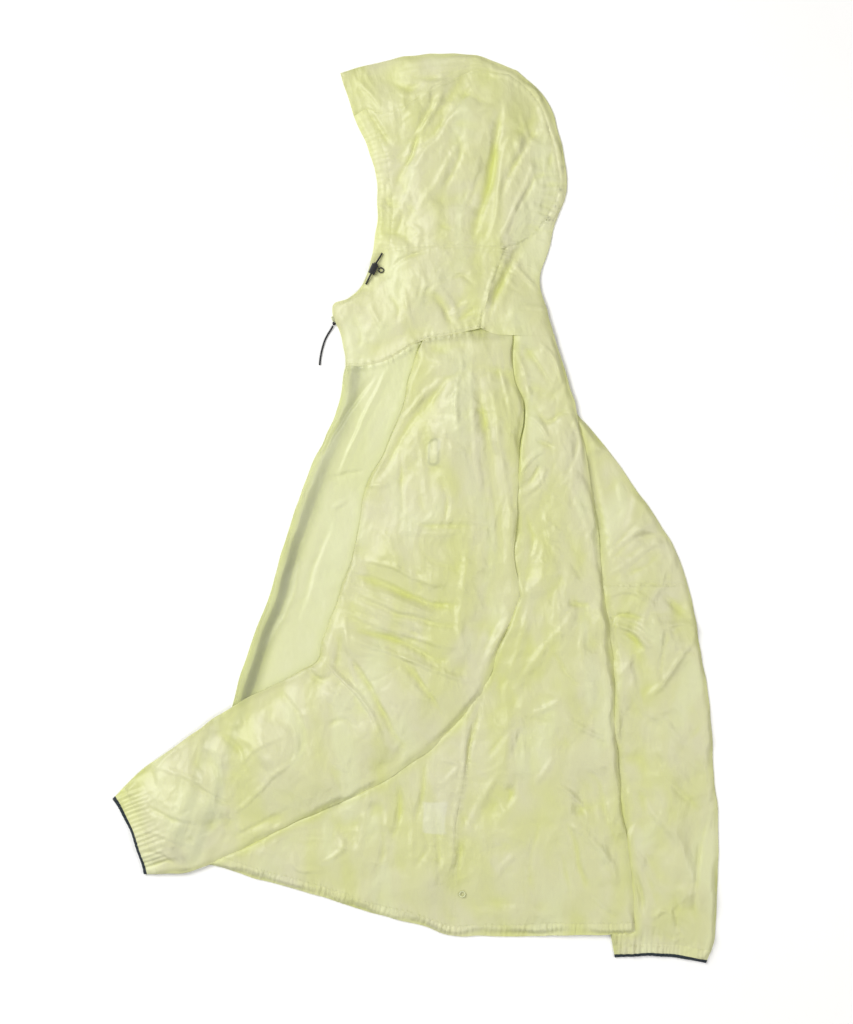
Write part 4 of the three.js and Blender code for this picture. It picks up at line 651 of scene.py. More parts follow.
def clear_of(inside):
    return smooth(COVER_FREE, COVER_FREE + COVER_RUN, -inside)


def window(points, reach):
    """The part of the maps within reach of some points."""
    low, high = np.min(points, 0) - reach, np.max(points, 0) + reach
    i0, i1 = np.searchsorted(xs, [low[0], high[0]])
    j0, j1 = np.searchsorted(ys, [low[1], high[1]])
    return slice(j0, j1), slice(i0, i1)


def along(points, where):
    """Distance, side, and length along a bent line for one window of the maps."""
    x, y = GX[where], GY[where]
    best = np.full(x.shape, 1e9)
    side, run = np.ones(x.shape), np.zeros(x.shape)
    done = 0.0
    for a, b in zip(points, points[1:]):
        d, share, sign = segment_distance(x, y, a, b)
        size = math.dist(a, b)
        nearer = d < best
        best = np.where(nearer, d, best)
        side = np.where(nearer, sign, side)
        run = np.where(nearer, done + share * size, run)
        done += size
    return best, side, run, done


def press(height, points, width, rise, sharp, lean=0.0):
    """Adds one crease, soft at sharp 0 and crested at 1, fading at its ends."""
    where = window(points, width * 1.4)
    d, side, run, total = along(points, where)
    reach = width * (1 + lean * side)
    t = np.clip(d / reach, 0, 1)
    profile = (1 - sharp) * (1 - t**2) ** 2 + sharp * (1 - t) ** 1.7
    ends = np.clip(np.sin(math.pi * np.clip(run / total, 0, 1)), 0, 1) ** 0.6
    height[where] += rise * profile * ends * (d < reach)


def fold_map(surface):
    found = np.zeros(GX.shape)
    for x1, y1, x2, y2, width, rise in FOLDS[surface]:
        where = window([(x1, y1), (x2, y2)], width)
        d, share, _ = segment_distance(GX[where], GY[where], (x1, y1), (x2, y2))
        t = np.clip(d / width, 0, 1)
        found[where] += rise * (1 - t**2) ** 2 * (0.55 + 0.45 * np.sin(math.pi * share))
    return found


def band_noise(size, seed, heading=0.0, stretch=1.0):
    """Even noise whose bumps are about one size long, stretched along a heading."""
    source = np.random.default_rng(seed).standard_normal(GX.shape)
    fy = np.fft.fftfreq(GX.shape[0], STEP)[:, None]
    fx = np.fft.fftfreq(GX.shape[1], STEP)[None, :]
    c, s = math.cos(math.radians(heading)), math.sin(math.radians(heading))
    across, ahead = (-s * fx + c * fy), (c * fx + s * fy) * stretch
    radius = np.hypot(across, ahead) * size
    band = np.exp(-((radius - 1) ** 2) / 0.18)
    found = np.fft.ifft2(np.fft.fft2(source) * band).real
    return found / found.std()


def box_blur(height, size):
    """A running mean over a square."""
    kernel = np.ones(size) / size
    out = np.apply_along_axis(lambda row: np.convolve(row, kernel, "same"), 0, height)
    return np.apply_along_axis(lambda row: np.convolve(row, kernel, "same"), 1, out)


FACET_SIZES, FACET_STRETCH, FACET_RISES = (42, 22, 10.5), (1.8, 1.6, 1.5), (1.7, 1.35, 0.5)


def facets(spacing, seed, heading, stretch):
    """Flat facets between crisp edges: uneven heights on scattered points, joined by triangles."""
    steps = np.random.default_rng(seed)
    c, s = math.cos(math.radians(heading)), math.sin(math.radians(heading))
    reach = 1.2 * max(abs(MAP_X[0]), abs(MAP_Y[0]))
    ahead = np.arange(-reach, reach, spacing * stretch)
    aside = np.arange(-reach, reach, spacing)
    u, v = (grid.ravel() for grid in np.meshgrid(ahead, aside))
    u = u + steps.uniform(-0.45, 0.45, u.shape) * spacing * stretch
    v = v + steps.uniform(-0.45, 0.45, v.shape) * spacing
    x, y = c * u - s * v, s * u + c * v
    margin = 3 * spacing * stretch
    kept = (np.abs(x) < abs(MAP_X[0]) + margin) & (np.abs(y) < abs(MAP_Y[0]) + margin)
    points = [Vector(p) for p in zip(x[kept], y[kept])]
    corners, _, triangles, *_ = delaunay_2d_cdt(points, [], [], 0, 1e-6)
    corners = np.array(corners)
    rise = steps.standard_normal(len(corners))
    found = np.zeros(GX.shape)
    for triangle in triangles:
        p, z = corners[list(triangle)], rise[list(triangle)]
        i0, i1 = np.searchsorted(xs, [p[:, 0].min(), p[:, 0].max()])
        j0, j1 = np.searchsorted(ys, [p[:, 1].min(), p[:, 1].max()])
        if i0 == i1 or j0 == j1:
            continue
        gx, gy = xs[None, i0:i1] - p[0, 0], ys[j0:j1, None] - p[0, 1]
        (ax, ay), (bx, by) = p[1] - p[0], p[2] - p[0]
        area = ax * by - ay * bx
        if abs(area) < 1e-6:
            continue
        one, two = (gx * by - gy * bx) / area, (gy * ax - gx * ay) / area
        inside = (one >= 0) & (two >= 0) & (one + two <= 1)
        plane = z[0] + one * (z[1] - z[0]) + two * (z[2] - z[0])
        found[j0:j1, i0:i1][inside] = plane[inside]
    return found


def crumple(seed, heading):
    """Creased facets of thin cloth in three sizes, in calm and lively areas."""
    large, middle, small = (
        facets(size, seed + i, heading + turn, stretch)
        for i, (size, turn, stretch) in enumerate(zip(FACET_SIZES, (0, 30, -30), FACET_STRETCH))
    )
    lively = smooth(-0.8, 1.2, band_noise(90, seed + 3))
    fine = (FACET_RISES[1] * middle + FACET_RISES[2] * small) * (0.45 + 0.8 * lively)
    return FACET_RISES[0] * box_blur(large, 5) + fine


LEAST_WIDTH = 4.2  # the narrowest crease that the maps can hold


def crease_map(surface, seed, heading):
    found = crumple(seed, heading) * (CALM_FRONT if surface == "body" else 1)
    for name, points, width, rise, sharp in CREASES:
        if name == surface:
            bent = curve(points, 6 * (len(points) - 1)) if len(points) > 2 else points
            lean = 0.3 if rise > 0 else -0.3
            press(found, bent, max(LEAST_WIDTH, CREASE_WIDTH * width), CREASE_GAIN * rise, sharp, lean)
    for name, middle, radius, angle, spread, count, size, rise in PATCHES:
        if name != surface:
            continue
        for _ in range(count):
            at = np.array(middle) + radius * rng.normal(0, 0.5, 2)
            turn = math.radians(angle + rng.normal(0, spread))
            reach = size * rng.uniform(0.45, 1.3)
            ahead = np.array([math.cos(turn), math.sin(turn)]) * reach / 2
            kink = np.array([-ahead[1], ahead[0]]) * rng.uniform(-0.25, 0.25)
            height = rise * rng.choice([-1, 1]) * rng.uniform(0.5, 1.3)
            press(found, [at - ahead, at + kink, at + ahead], rng.uniform(2.5, 5.5), height, 0.85)
    return found


def seam(height, points, depth=0.4, pucker=0.35, wave=7.0, reach=9.0, seed=1, ridge=0.0):
    """Presses a sewn seam into a map: a groove or a lumpy double ridge, with puckers that die away."""
    points = np.asarray(points, float)
    where = window(points, reach)
    d, _, run, total = along(points, where)
    steps = np.random.default_rng(seed)
    knots = np.cumsum(steps.uniform(0.55, 1.6, int(total / wave) + 3))
    phase = np.interp(run, np.arange(len(knots)) * wave, knots * 2 * math.pi)
    loud = np.interp(run, np.linspace(0, total, 12), steps.uniform(0.2, 1.2, 12))
    groove = -depth * np.exp(-((d / 1.3) ** 2)) + 0.35 * depth * np.exp(-(((d - 3.2) / 1.8) ** 2))
    groove = groove + ridge * np.exp(-(((d - 2.6) / 1.7) ** 2)) * (1 + 0.35 * np.sin(phase * 0.7 + 1))
    height[where] += groove + pucker * loud * np.sin(phase) * np.exp(-((d / (0.5 * reach)) ** 2))


def gathers(height, points, width, rise, wave, seed):
    """Fine gathers across a drawn-in band, uneven in spacing and depth."""
    points = np.asarray(points, float)
    where = window(points, width * 2.2)
    d, _, run, total = along(points, where)
    steps = np.random.default_rng(seed)
    knots = np.cumsum(steps.uniform(0.5, 1.7, int(total / wave) + 4))
    phase = np.interp(run, np.arange(len(knots)) * wave, knots * 2 * math.pi)
    loud = np.interp(run, np.linspace(0, total, 24), steps.uniform(0.35, 1.2, 24))
    fade = np.exp(-((np.maximum(0, d - 0.5 * width) / (0.75 * width)) ** 2))
    height[where] += rise * loud * np.sin(phase) * fade


def head_distance():
    head = (line_of(LEFT_SLEEVE, "front_")[0], line_of(LEFT_SLEEVE, "back_")[0])
    return segment_distance(GX, GY, *head)[0]


body_lift = STACK_RISE * (1 - smooth(LIFT_MARGIN, LIFT_MARGIN + LIFT_RUN, -in_right))
head_rise = STACK_RISE * (1 - smooth(6, 60, head_distance()))
neck_line = line_of(NECK_SEAM)
head_front = line_of(LEFT_SLEEVE, "front_")[0]
nape_corner = line_of(CROWN_NAPE)[-1]
from_neck = np.minimum(
    segment_distance(GX, GY, neck_line[0], head_front)[0],
    segment_distance(GX, GY, head_front, nape_corner)[0],
)


def puffed(surface, inside):
    cloth = PUFF[surface] * smooth(0, PUFF_RUN, inside) + fold_map(surface)
    return np.maximum(0, cloth) * smooth(0, FOLD_FREE_EDGE, inside)


EDGE_RUN = 3 + 6 * smooth(-1.2, 1.2, band_noise(60, 77))  # how far in an edge's fold still holds the cloth


def near_edge(inside):
    return smooth(0, 1, inside / EDGE_RUN)


front_line = line_of(BODY, "front_")
from_front = np.min([segment_distance(GX, GY, a, b)[0] for a, b in zip(front_line, front_line[1:])], 0)
below_sleeve = smooth(-230, -300, GY) * smooth(10, 60, from_front)
CALM = 0.45  # how lively the cloth is beside the front edge, where the rest is one
CALM_FRONT = CALM + (1 - CALM) * np.maximum(smooth(60, 130, from_front), below_sleeve)
creases = {
    "body": crease_map("body", 11, 75),
    "hood": crease_map("hood", 21, 70),
    "sleeve": crease_map("sleeve", 31, 95),
    "right": crease_map("right", 41, 85),
}

neck_seam = curve(line_of(NECK_SEAM), 40)
hood_seam = np.array([(-45, 281.5), (10, 285.5), (60, 287.5), (99.9, 284.6)])
brim_seam = curve(line_of(BRIM_SEAM), 40)
back_seam = curve(line_of(HOOD, "back_"), 40)
neck_back_seam = curve(line_of(NECK, "back_"), 30)
casing_line = curve(line_of(CASING, "back_"), 30)
yoke_line = curve(line_of(YOKE_BOTTOM), 20)
side_seam = curve(line_of(BODY, "seam_")[6:], 60)
hem_top = np.array([(-249.6, -373.5), (39.8, -458.2), (241.3, -455.0)])
hem_middle = np.array([(-250, -378.4), (39.5, -463.2), (140, -466), (241.5, -460)])


def section_line(tab, section):
    front, back = line_of(tab, "front_")[section], line_of(tab, "back_")[section]
    return np.array([front + (back - front) * s for s in np.linspace(0, 1, 12)])


left_elbow, right_elbow = section_line(LEFT_SLEEVE, ELBOW), section_line(RIGHT_SLEEVE, ELBOW)


def distance_to(*lines):
    """Every point's distance to the nearest of some lines."""
    return np.min([segment_distance(GX, GY, a, b)[0] for line in lines for a, b in zip(line, line[1:])], 0)


join_distance = distance_to(neck_seam[::4], yoke_line[::4])
shared = 1 - smooth(0, 20, join_distance)
mean_crease = (creases["hood"] + creases["body"] + creases["sleeve"]) / 3
for name in ("hood", "body", "sleeve"):
    creases[name] += (mean_crease - creases[name]) * shared

seam(creases["hood"], brim_seam, 0.4, 0.3, 8, seed=2, ridge=0.3)
seam(creases["hood"], back_seam, 0.45, 0.45, 7, seed=3, ridge=0.2)
seam(creases["hood"], hood_seam, 0.35, 0.4, 7, seed=4, ridge=0.3)
seam(creases["hood"], neck_back_seam, 0.45, 0.6, 7, 12, seed=5, ridge=0.3)
seam(creases["hood"], casing_line, 0.35, 0.3, 6, seed=6)
for name in ("hood", "body", "sleeve"):
    seam(creases[name], neck_seam, 0.12, 1.0, 8, 13, seed=16, ridge=1.4)
seam(creases["body"], side_seam, 0.3, 0.5, 9, 12, seed=7, ridge=0.3)
seam(creases["body"], yoke_line, 0.3, 0.35, 7, seed=8)
seam(creases["sleeve"], left_elbow, 0.1, 0.25, 7, 12, seed=9)
seam(creases["right"], right_elbow, 0.45, 0.6, 7, 14, seed=10, ridge=0.3)
drawn = {name: np.zeros(GX.shape) for name in creases}  # gathers, which reach the very edge
gathers(drawn["hood"], curve(line_of(CASING, "front_"), 30) + (7, 0), 12, 0.45, 7, 11)
gathers(drawn["hood"], curve(line_of(CROWN_BACK)[4:], 20) + (-12, 0), 14, 0.9, 8, 12)
gathers(drawn["body"], hem_middle, 8, 1.2, 5.2, 13)
gathers(drawn["sleeve"], np.array(LEFT_CUFF) + (9, 7), 18, 1.1, 6.5, 14)
gathers(drawn["right"], np.array(RIGHT_CUFF) + (0, 9), 18, 1.1, 6.5, 15)

TOP_OF_LOWER = WALL / 2  # middle of the wall that lies on its layer's floor
PINNED_HOOD = [(-38, 277), (-45.2, 262.9), (-38, 262), (-52, 249)]
PINNED_BODY = [(52.5, -423.5)]
PINNED_HOOD_REACH, PINNED_BODY_REACH = 20, 48
LEAST_GAP, GAP_SOFTNESS = 0.75, 0.5  # between the middles of a lower and an upper layer
EDGE_DROP = 0.9  # how far an upper layer sinks towards its folded edge
LOFT = 1.5  # extra height of the upper layers, so that troughs have room
BESIDE_SLEEVE, BESIDE_BACK = 2.6, 3.0  # the same beside the near sleeve and beside the back edge
LEVEL_RUN, LEVEL_BODY, LEVEL_RIGHT = 34, 1.1, 1.0  # cloth that rises to meet the layer lying on it
UNDER_EDGE, UNDER_RUN = 0.7, (14, 4)  # height of the cloth just under the edge of that layer
HEAD_EASE = 9  # how much less the sleeve head's edge drops, where a seam joins it to the body
body_cloth = puffed("body", in_garment) * clear_of(in_left)
hood_cloth = puffed("hood", in_garment) * smooth(2, 50, from_neck)
body_cloth += (head_rise + hood_cloth - body_cloth) * shared * smooth(0, 10, -in_left)
left_cloth = puffed("sleeve", in_left)
right_cloth = puffed("right", in_right) * clear_of(in_body)
sleeve_floor = (body_lift + STACK_RISE) * (1 - smooth(SLEEVE_MARGIN, SLEEVE_MARGIN + SLEEVE_RUN, -in_body))


def loose_from(places, reach):
    """Nought where small parts hold the cloth at its solid's height, one away from them."""
    return np.prod([smooth(5, reach, np.hypot(GX - x, GY - y)) for x, y in places], 0)


def tucked(creased, gathered, rim, over):
    """The detail of a cloth that goes under another one's edge."""
    past = smooth(-2.5, 2, -over)
    return (creased * rim + gathered) * past + UNDER_EDGE * (1 - past) * smooth(*UNDER_RUN, over) * rim


rim, head_inside = near_edge(in_garment), in_left + HEAD_EASE * shared
level_up = LEVEL_BODY * smooth(LEVEL_RUN, 2, distance_to(line_of(LEFT_SLEEVE, "back_")))
body_detail = tucked(creases["body"] + BESIDE_SLEEVE + level_up, drawn["body"], rim, in_left)
hood_detail = (creases["hood"] + LOFT) * rim + drawn["hood"]
hood_detail *= loose_from(PINNED_HOOD, PINNED_HOOD_REACH)
joined = 1 - smooth(2, 20, join_distance)
body_detail += (hood_detail - body_detail) * joined * smooth(0, 10, -in_left)
left_detail = (creases["sleeve"] + LOFT) * near_edge(head_inside) + drawn["sleeve"]
body_detail *= loose_from(PINNED_BODY, PINNED_BODY_REACH)
level_up = LEVEL_RIGHT * smooth(LEVEL_RUN, 2, -in_body)
right_creased = creases["right"] + BESIDE_BACK + level_up
right_detail = tucked(right_creased, drawn["right"], near_edge(in_right), in_body)


def layer_heights(floor, rise, detail, inside):
    """Heights of the middles of a lower and an upper layer that never touch, close at folded edges."""
    lower = floor + TOP_OF_LOWER
    gap = LAYER + rise + detail - LEAST_GAP - EDGE_DROP * (1 - near_edge(inside))
    gap = LEAST_GAP + 0.5 * (gap + np.sqrt(gap**2 + GAP_SOFTNESS**2))
    return {"lower": lower + np.clip(0.25 * np.roll(detail, 37, 0), -0.25, 0.4), "upper": lower + gap}


HEIGHTS = {
    "body": layer_heights(body_lift, body_cloth, body_detail, in_garment),
    "hood": layer_heights(body_lift, head_rise + hood_cloth, hood_detail, in_garment),
    "left": layer_heights(sleeve_floor, left_cloth, left_detail, head_inside),
    "right": layer_heights(np.zeros(GX.shape), right_cloth, right_detail, in_right),
}

PRESSED = 0.36  # least distance between the middles of two cloths that lie on each other
for under, over, inside in (("right", "body", in_body), ("body", "left", in_left)):
    room = np.where(inside > 0.5, HEIGHTS[over]["lower"] - PRESSED, 99)
    maps = HEIGHTS[under]
    maps["upper"] = np.maximum(np.minimum(maps["upper"], room), maps["lower"] + PRESSED)

WIDE_BLUR, NARROW_BLUR = 31, 5
# Painted shade: these depths set how far each cloth takes the darker, more saturated trough colour.
DEPTH = {  # how far the cloth lies below the cloth round it
    name: box_blur(maps["upper"], WIDE_BLUR) - box_blur(maps["upper"], NARROW_BLUR) for name, maps in HEIGHTS.items()
}


def sample(field, points):
    """A map's values at points, between its steps."""
    x = np.clip((points[..., 0] - xs[0]) / STEP, 0, len(xs) - 1.001)
    y = np.clip((points[..., 1] - ys[0]) / STEP, 0, len(ys) - 1.001)
    i, j = x.astype(int), y.astype(int)
    u, v = x - i, y - j
    low = field[j, i] * (1 - u) + field[j, i + 1] * u
    high = field[j + 1, i] * (1 - u) + field[j + 1, i + 1] * u
    return low * (1 - v) + high * v


# Grids of points for the pieces.


def loft(left, right, columns, first=None, last=None):
    """Rows of points between two edges, with the end rows bent to given lines."""
    u = np.linspace(0, 1, columns + 1)[None, :, None]
    v = np.linspace(0, 1, len(left))[:, None, None]
    grid = left[:, None] * (1 - u) + right[:, None] * u
    if first is not None:
        grid = grid + (first[None] - grid[:1]) * (1 - v) ** 2
    if last is not None:
        grid = grid + (last[None] - grid[-1:]) * v**2
    return grid


def resample(row, start, end, count):
    """Evenly spaced points along a row, between two distances from its start."""
    reach = np.concatenate([[0], np.cumsum(np.linalg.norm(np.diff(row, axis=0), axis=1))])
    at = start + (max(end, start + 0.05) - start) * np.linspace(0, 1, count + 1)
    return np.stack([np.interp(at, reach, row[:, k]) for k in (0, 1)], 1)


def row_length(row):
    return float(np.linalg.norm(np.diff(row, axis=0), axis=1).sum())


def stations(stack, runs, spacing, turn_steps=5):
    """The cloth's middle along every row: level runs joined by round turns. A run is a layer and its grid."""
    maps = HEIGHTS[stack]
    rows = runs[0][1].shape[0]
    counts = [max(2, int(round(np.mean([row_length(r) for r in grid]) / spacing))) for _, grid in runs]
    made = []
    for j in range(rows):
        row = []
        for k, (layer, grid) in enumerate(runs):
            line, total = grid[j], row_length(grid[j])
            gap = []
            for edge in (line[0], line[-1]):
                low, high = (float(sample(maps[name], edge)) for name in ("lower", "upper"))
                gap.append(((high - low) / 2, (high + low) / 2))
            start = gap[0][0] if k > 0 else 0.0
            end = total - (gap[1][0] if k < len(runs) - 1 else 0.0)
            points = resample(line, start, end, counts[k])
            flags = np.full(len(points), 1.0 if layer == "lower" else 0.0)
            row.append(np.column_stack([points, sample(maps[layer], points), flags]))
            if k < len(runs) - 1:
                radius, middle = gap[1]
                out = line[-1] - line[-2]
                out = out / max(np.linalg.norm(out), 1e-6)
                up = 1 if layer == "lower" else -1
                angles = up * (np.linspace(0, math.pi, turn_steps + 2)[1:-1] - math.pi / 2)
                centre = line[-1] - out * radius
                turn = centre + out * (radius * np.cos(angles))[:, None]
                rise = np.sin(angles)
                row.append(np.column_stack([turn, middle + radius * rise, 0.5 - 0.5 * rise]))
        made.append(np.vstack(row))
    return np.array(made)


# Materials.


class Field:
    """A shader socket with arithmetic, so that a pattern reads as a formula."""

    def __init__(self, paint, socket):
        self.paint, self.socket = paint, socket

    def maths(self, operation, *values):
        node = self.paint.node("ShaderNodeMath", operation=operation)
        for i, value in enumerate(values or [self]):
            self.paint.join(value, node.inputs[i])
        return Field(self.paint, node.outputs[0])

    def __add__(self, other):
        return self.maths("ADD", self, other)

    def __sub__(self, other):
        return self.maths("SUBTRACT", self, other)

    def __mul__(self, other):
        return self.maths("MULTIPLY", self, other)

    def __rsub__(self, other):
        return self.maths("SUBTRACT", other, self)

    __radd__ = __add__
    __rmul__ = __mul__

    def between(self, low, high, first=0.0, last=1.0):
        """This value from low to high, as first to last, smooth and clamped."""
        node = self.paint.node("ShaderNodeMapRange", interpolation_type="SMOOTHSTEP")
        for name, value in (("From Min", low), ("From Max", high), ("To Min", first), ("To Max", last)):
            node.inputs[name].default_value = value
        self.paint.join(self, node.inputs["Value"])
        return Field(self.paint, node.outputs["Result"])

    def blend(self, first, last):
        """A colour between two, by this value."""
        node = self.paint.node("ShaderNodeMix", data_type="RGBA")
        self.paint.join(self, node.inputs[0])
        self.paint.join(first, node.inputs[6])
        self.paint.join(last, node.inputs[7])
        return Field(self.paint, node.outputs[2])


class Paint:
    """A material under construction."""

    def __init__(self, name):
        self.material = bpy.data.materials.new(name)
        self.material.use_nodes = True
        self.tree = self.material.node_tree
        self.tree.nodes.clear()
        self.out = self.node("ShaderNodeOutputMaterial")
        self.shader = self.node("ShaderNodeBsdfPrincipled")
        self.tree.links.new(self.shader.outputs[0], self.out.inputs[0])
        self.coords = self.node("ShaderNodeTexCoord").outputs["Object"]

    def node(self, kind, **settings):
        made = self.tree.nodes.new(kind)
        for name, value in settings.items():
            setattr(made, name, value)
        return made

    def join(self, value, socket):
        if isinstance(value, Field):
            self.tree.links.new(value.socket, socket)
        elif isinstance(value, bpy.types.NodeSocket):
            self.tree.links.new(value, socket)
        else:
            socket.default_value = value

    def texture(self, kind, output, settings=None, **inputs):
        made = self.node(kind, **(settings or {}))
        for name, value in inputs.items():
            self.join(value, made.inputs[name.replace("_", " ").title()])
        if "Vector" in made.inputs and "vector" not in inputs:
            self.join(self.coords, made.inputs["Vector"])
        return Field(self, made.outputs[output])

    def noise(self, scale, detail=3.0, roughness=0.5):
        return self.texture("ShaderNodeTexNoise", 0, scale=scale, detail=detail, roughness=roughness)

    def stretched(self, x, y, z=1.0, turn=0.0, source=None):
        made = self.node("ShaderNodeMapping")
        self.join(source or self.coords, made.inputs["Vector"])
        made.inputs["Scale"].default_value = (x, y, z)
        made.inputs["Rotation"].default_value = (0, 0, math.radians(turn))
        return made.outputs[0]

    def warped(self, scale, amount):
        """The object's coordinates, pushed about by noise."""
        made = self.node("ShaderNodeVectorMath", operation="MULTIPLY_ADD")
        self.join(self.texture("ShaderNodeTexNoise", 1, scale=scale, detail=1.0), made.inputs[0])
        made.inputs[1].default_value = (amount, amount, amount)
        self.join(self.coords, made.inputs[2])
        return made.outputs[0]

    def facets(self, scale, turn, source):
        """Hollows between crisp ridges, in cells of one over the scale, turned."""
        cells = self.stretched(*scale, turn, source)
        return self.cells(cells, 1.0)

    def cells(self, vector, scale):
        """Rounded hollows round the points of a random flat pattern."""
        flat = {"voronoi_dimensions": "2D"}
        return self.texture("ShaderNodeTexVoronoi", "Distance", flat, vector=vector, scale=scale)

    def soft(self, vector):
        """Soft noise with one finer layer."""
        return self.texture("ShaderNodeTexNoise", 0, vector=vector, scale=1.0, detail=1.0)

    def attribute(self, name):
        made = self.node("ShaderNodeAttribute", attribute_name=name)
        return Field(self, made.outputs["Fac"])

    def set(self, **values):
        for name, value in values.items():
            self.join(value, self.shader.inputs[name.replace("_", " ")])

    def bump(self, height, distance, strength=1.0):
        made = self.node("ShaderNodeBump")
        made.inputs["Distance"].default_value = distance
        made.inputs["Strength"].default_value = strength
        self.join(height, made.inputs["Height"])
        self.join(made.outputs[0], self.shader.inputs["Normal"])


def srgb(r, g, b):
    """A display colour of 0 to 255 as the shader's linear colour."""
    linear = [c / 12.92 if c <= 0.04045 else ((c + 0.055) / 1.055) ** 2.4 for c in (r / 255, g / 255, b / 255)]
    return (*linear, 1.0)


LABEL_TINT, ZIP_TINT = srgb(244, 244, 228), srgb(150, 154, 140)
LET_THROUGH = 0.22  # share of the light that the cloth passes on
LIME_PALE = srgb(230, 230, 181)
# Painted light colour, for bright streaks and for the front beside its edge.
LIME_PAINTED_LIGHT = srgb(240, 243, 202)
# Painted shade colour, for troughs, bands under overlying edges and random streaks.
LIME_PAINTED_SHADE = srgb(222, 227, 134)
# Painted sheen colour for the cloth's pearly patches.
LIME_PAINTED_SHEEN = srgb(232, 230, 196)
LIME_FAR = srgb(230, 231, 176)
LIME_GLOW = srgb(238, 242, 186)


def cloth_paint(name, base, gloss, sheer):
    """Thin glossy nylon: painted pearly sheen in patches, painted shade in troughs, painted streaks of shade and
    light, fine wrinkles, sheer upper layer.
    """
    paint = Paint(name)
    place = paint.warped(14.0, 0.05)
    trough_shade = paint.attribute("depth")
    patch = paint.attribute("pearl")
    # Painted sheen: crisp patches take a paler, pearly tint.
    colour = patch.blend(base, LIME_PAINTED_SHEEN)
    # Painted shade and painted light: soft noise streaks darken towards the trough colour or brighten, placed at
    # random rather than by the folds.
    bands = paint.soft(paint.stretched(20, 8, 1, 14, place))
    colour = bands.between(0.47, 0.66, 0.0, 0.36).blend(colour, LIME_PAINTED_SHADE)
    colour = bands.between(0.34, 0.46, 0.45, 0.0).blend(colour, LIME_PAINTED_LIGHT)
    # Painted shade: troughs and bands under overlying edges take the darker trough colour.
    colour = trough_shade.blend(colour, LIME_PAINTED_SHADE)
    # Painted light: the near front beside its front edge is brighter, as light passes through fewer layers there.
    colour = (paint.attribute("thin") * 0.6).blend(colour, LIME_PAINTED_LIGHT)
    colour = paint.attribute("pale").blend(colour, LABEL_TINT)
    colour = paint.attribute("dark").blend(colour, ZIP_TINT)
    wrinkle = paint.soft(paint.stretched(190, 130, 1, 35))
    paint.set(
        Base_Color=colour,
        Roughness=(patch * 0.1) + (gloss - 0.05),
        Alpha=paint.attribute("cover").between(0.0, 1.0, sheer, 1.0),
        Metallic=0.0,
        Specular_IOR_Level=0.55,
        Coat_Weight=0.2,
        Coat_Roughness=0.25,
        Coat_IOR=1.5,
        Sheen_Weight=0.05,
        Sheen_Roughness=0.4,
    )
    lively = paint.noise(11.0, 1.0).between(0.38, 0.62, 0.35, 1.25)
    broad = paint.cells(place, 34.0)
    close = paint.facets((100, 48, 1), 24, place)
    calm = 1.0 - paint.attribute("thin") * 0.7
    paint.bump((broad * 2.0 + close * 1.0) * lively * calm + wrinkle * 0.5, 0.001, 0.9)
    glow = paint.node("ShaderNodeBsdfTranslucent")
    glow.inputs["Color"].default_value = LIME_GLOW
    both = paint.node("ShaderNodeMixShader")
    both.inputs[0].default_value = LET_THROUGH
    paint.tree.links.new(paint.shader.outputs[0], both.inputs[1])
    paint.tree.links.new(glow.outputs[0], both.inputs[2])
    paint.tree.links.new(both.outputs[0], paint.out.inputs[0])
    return paint.material


def plain_paint(name, colour, roughness, grain=300.0, bump=0.0001, spread=0.25, coat=0.0, alpha=1.0, metallic=0.0):
    """A finished plain material with its own grain and slight variation."""
    paint = Paint(name)
    dark = tuple(c * (1 - spread) for c in colour[:3]) + (1.0,)
    speck = paint.noise(grain, 4.0, 0.6)
    paint.set(
        Base_Color=speck.between(0.35, 0.65).blend(dark, colour),
        Roughness=(speck * 0.2) + (roughness - 0.1),
        Alpha=alpha,
        Metallic=metallic,
        Coat_Weight=coat,
        Coat_Roughness=0.2,
    )
    paint.bump(speck, bump, 0.6)
    return paint.material


def braid_paint(name, colour):
    """Round braided cord: crossing strands in bump and shade."""
    paint = Paint(name)
    one = paint.texture("ShaderNodeTexWave", 1, {"bands_direction": "DIAGONAL"}, scale=420.0, distortion=0.4)
    two = paint.texture("ShaderNodeTexWave", 1, {"bands_direction": "X"}, scale=380.0, distortion=0.4)
    strands = one * two
    paint.set(Base_Color=strands.blend(tuple(c * 0.4 for c in colour[:3]) + (1.0,), colour), Roughness=0.62)
    paint.bump(strands, 0.0002, 0.8)
    return paint.material


SHEER = 0.24  # opacity of one face of the upper layer; a lower layer stops the view
cloth_near = cloth_paint("lime nylon, near side", LIME_PALE, 0.45, SHEER)
cloth_far = cloth_paint("lime nylon, far side", LIME_FAR, 0.45, 1.0)
cloth_band = cloth_paint("lime nylon, doubled band", LIME_FAR, 0.5, 0.68)
binding_paint = plain_paint("dark elastic binding", srgb(26, 40, 48), 0.7, 900.0)
tape_paint = plain_paint("woven zip tape", srgb(104, 104, 104), 0.75, 1200.0)
coil_paint = plain_paint("nylon zip coil", srgb(84, 85, 86), 0.4, 400.0, coat=0.2)
black_cord = braid_paint("black braided cord", srgb(34, 36, 38))
black_plastic = plain_paint("black moulded plastic", srgb(24, 25, 27), 0.42, 500.0, coat=0.3)
slider_paint = plain_paint("painted zip slider", srgb(206, 210, 168), 0.35, 500.0, coat=0.4)
eyelet_paint = plain_paint("pale moulded eyelet", srgb(214, 218, 170), 0.35, 500.0, coat=0.4)
loop_paint = plain_paint("grey-green woven loop tape", srgb(178, 186, 146), 0.7, 1000.0)
label_paint = plain_paint("blank satin label", srgb(246, 246, 240), 0.5, 900.0, spread=0.05)
thread_paint = plain_paint("lime sewing thread", srgb(226, 228, 176), 0.6, 1500.0)
floor_paint = plain_paint("plain pale floor", srgb(250, 250, 250), 0.85, 6.0, bump=0.00001, spread=0.01)

# Pieces.


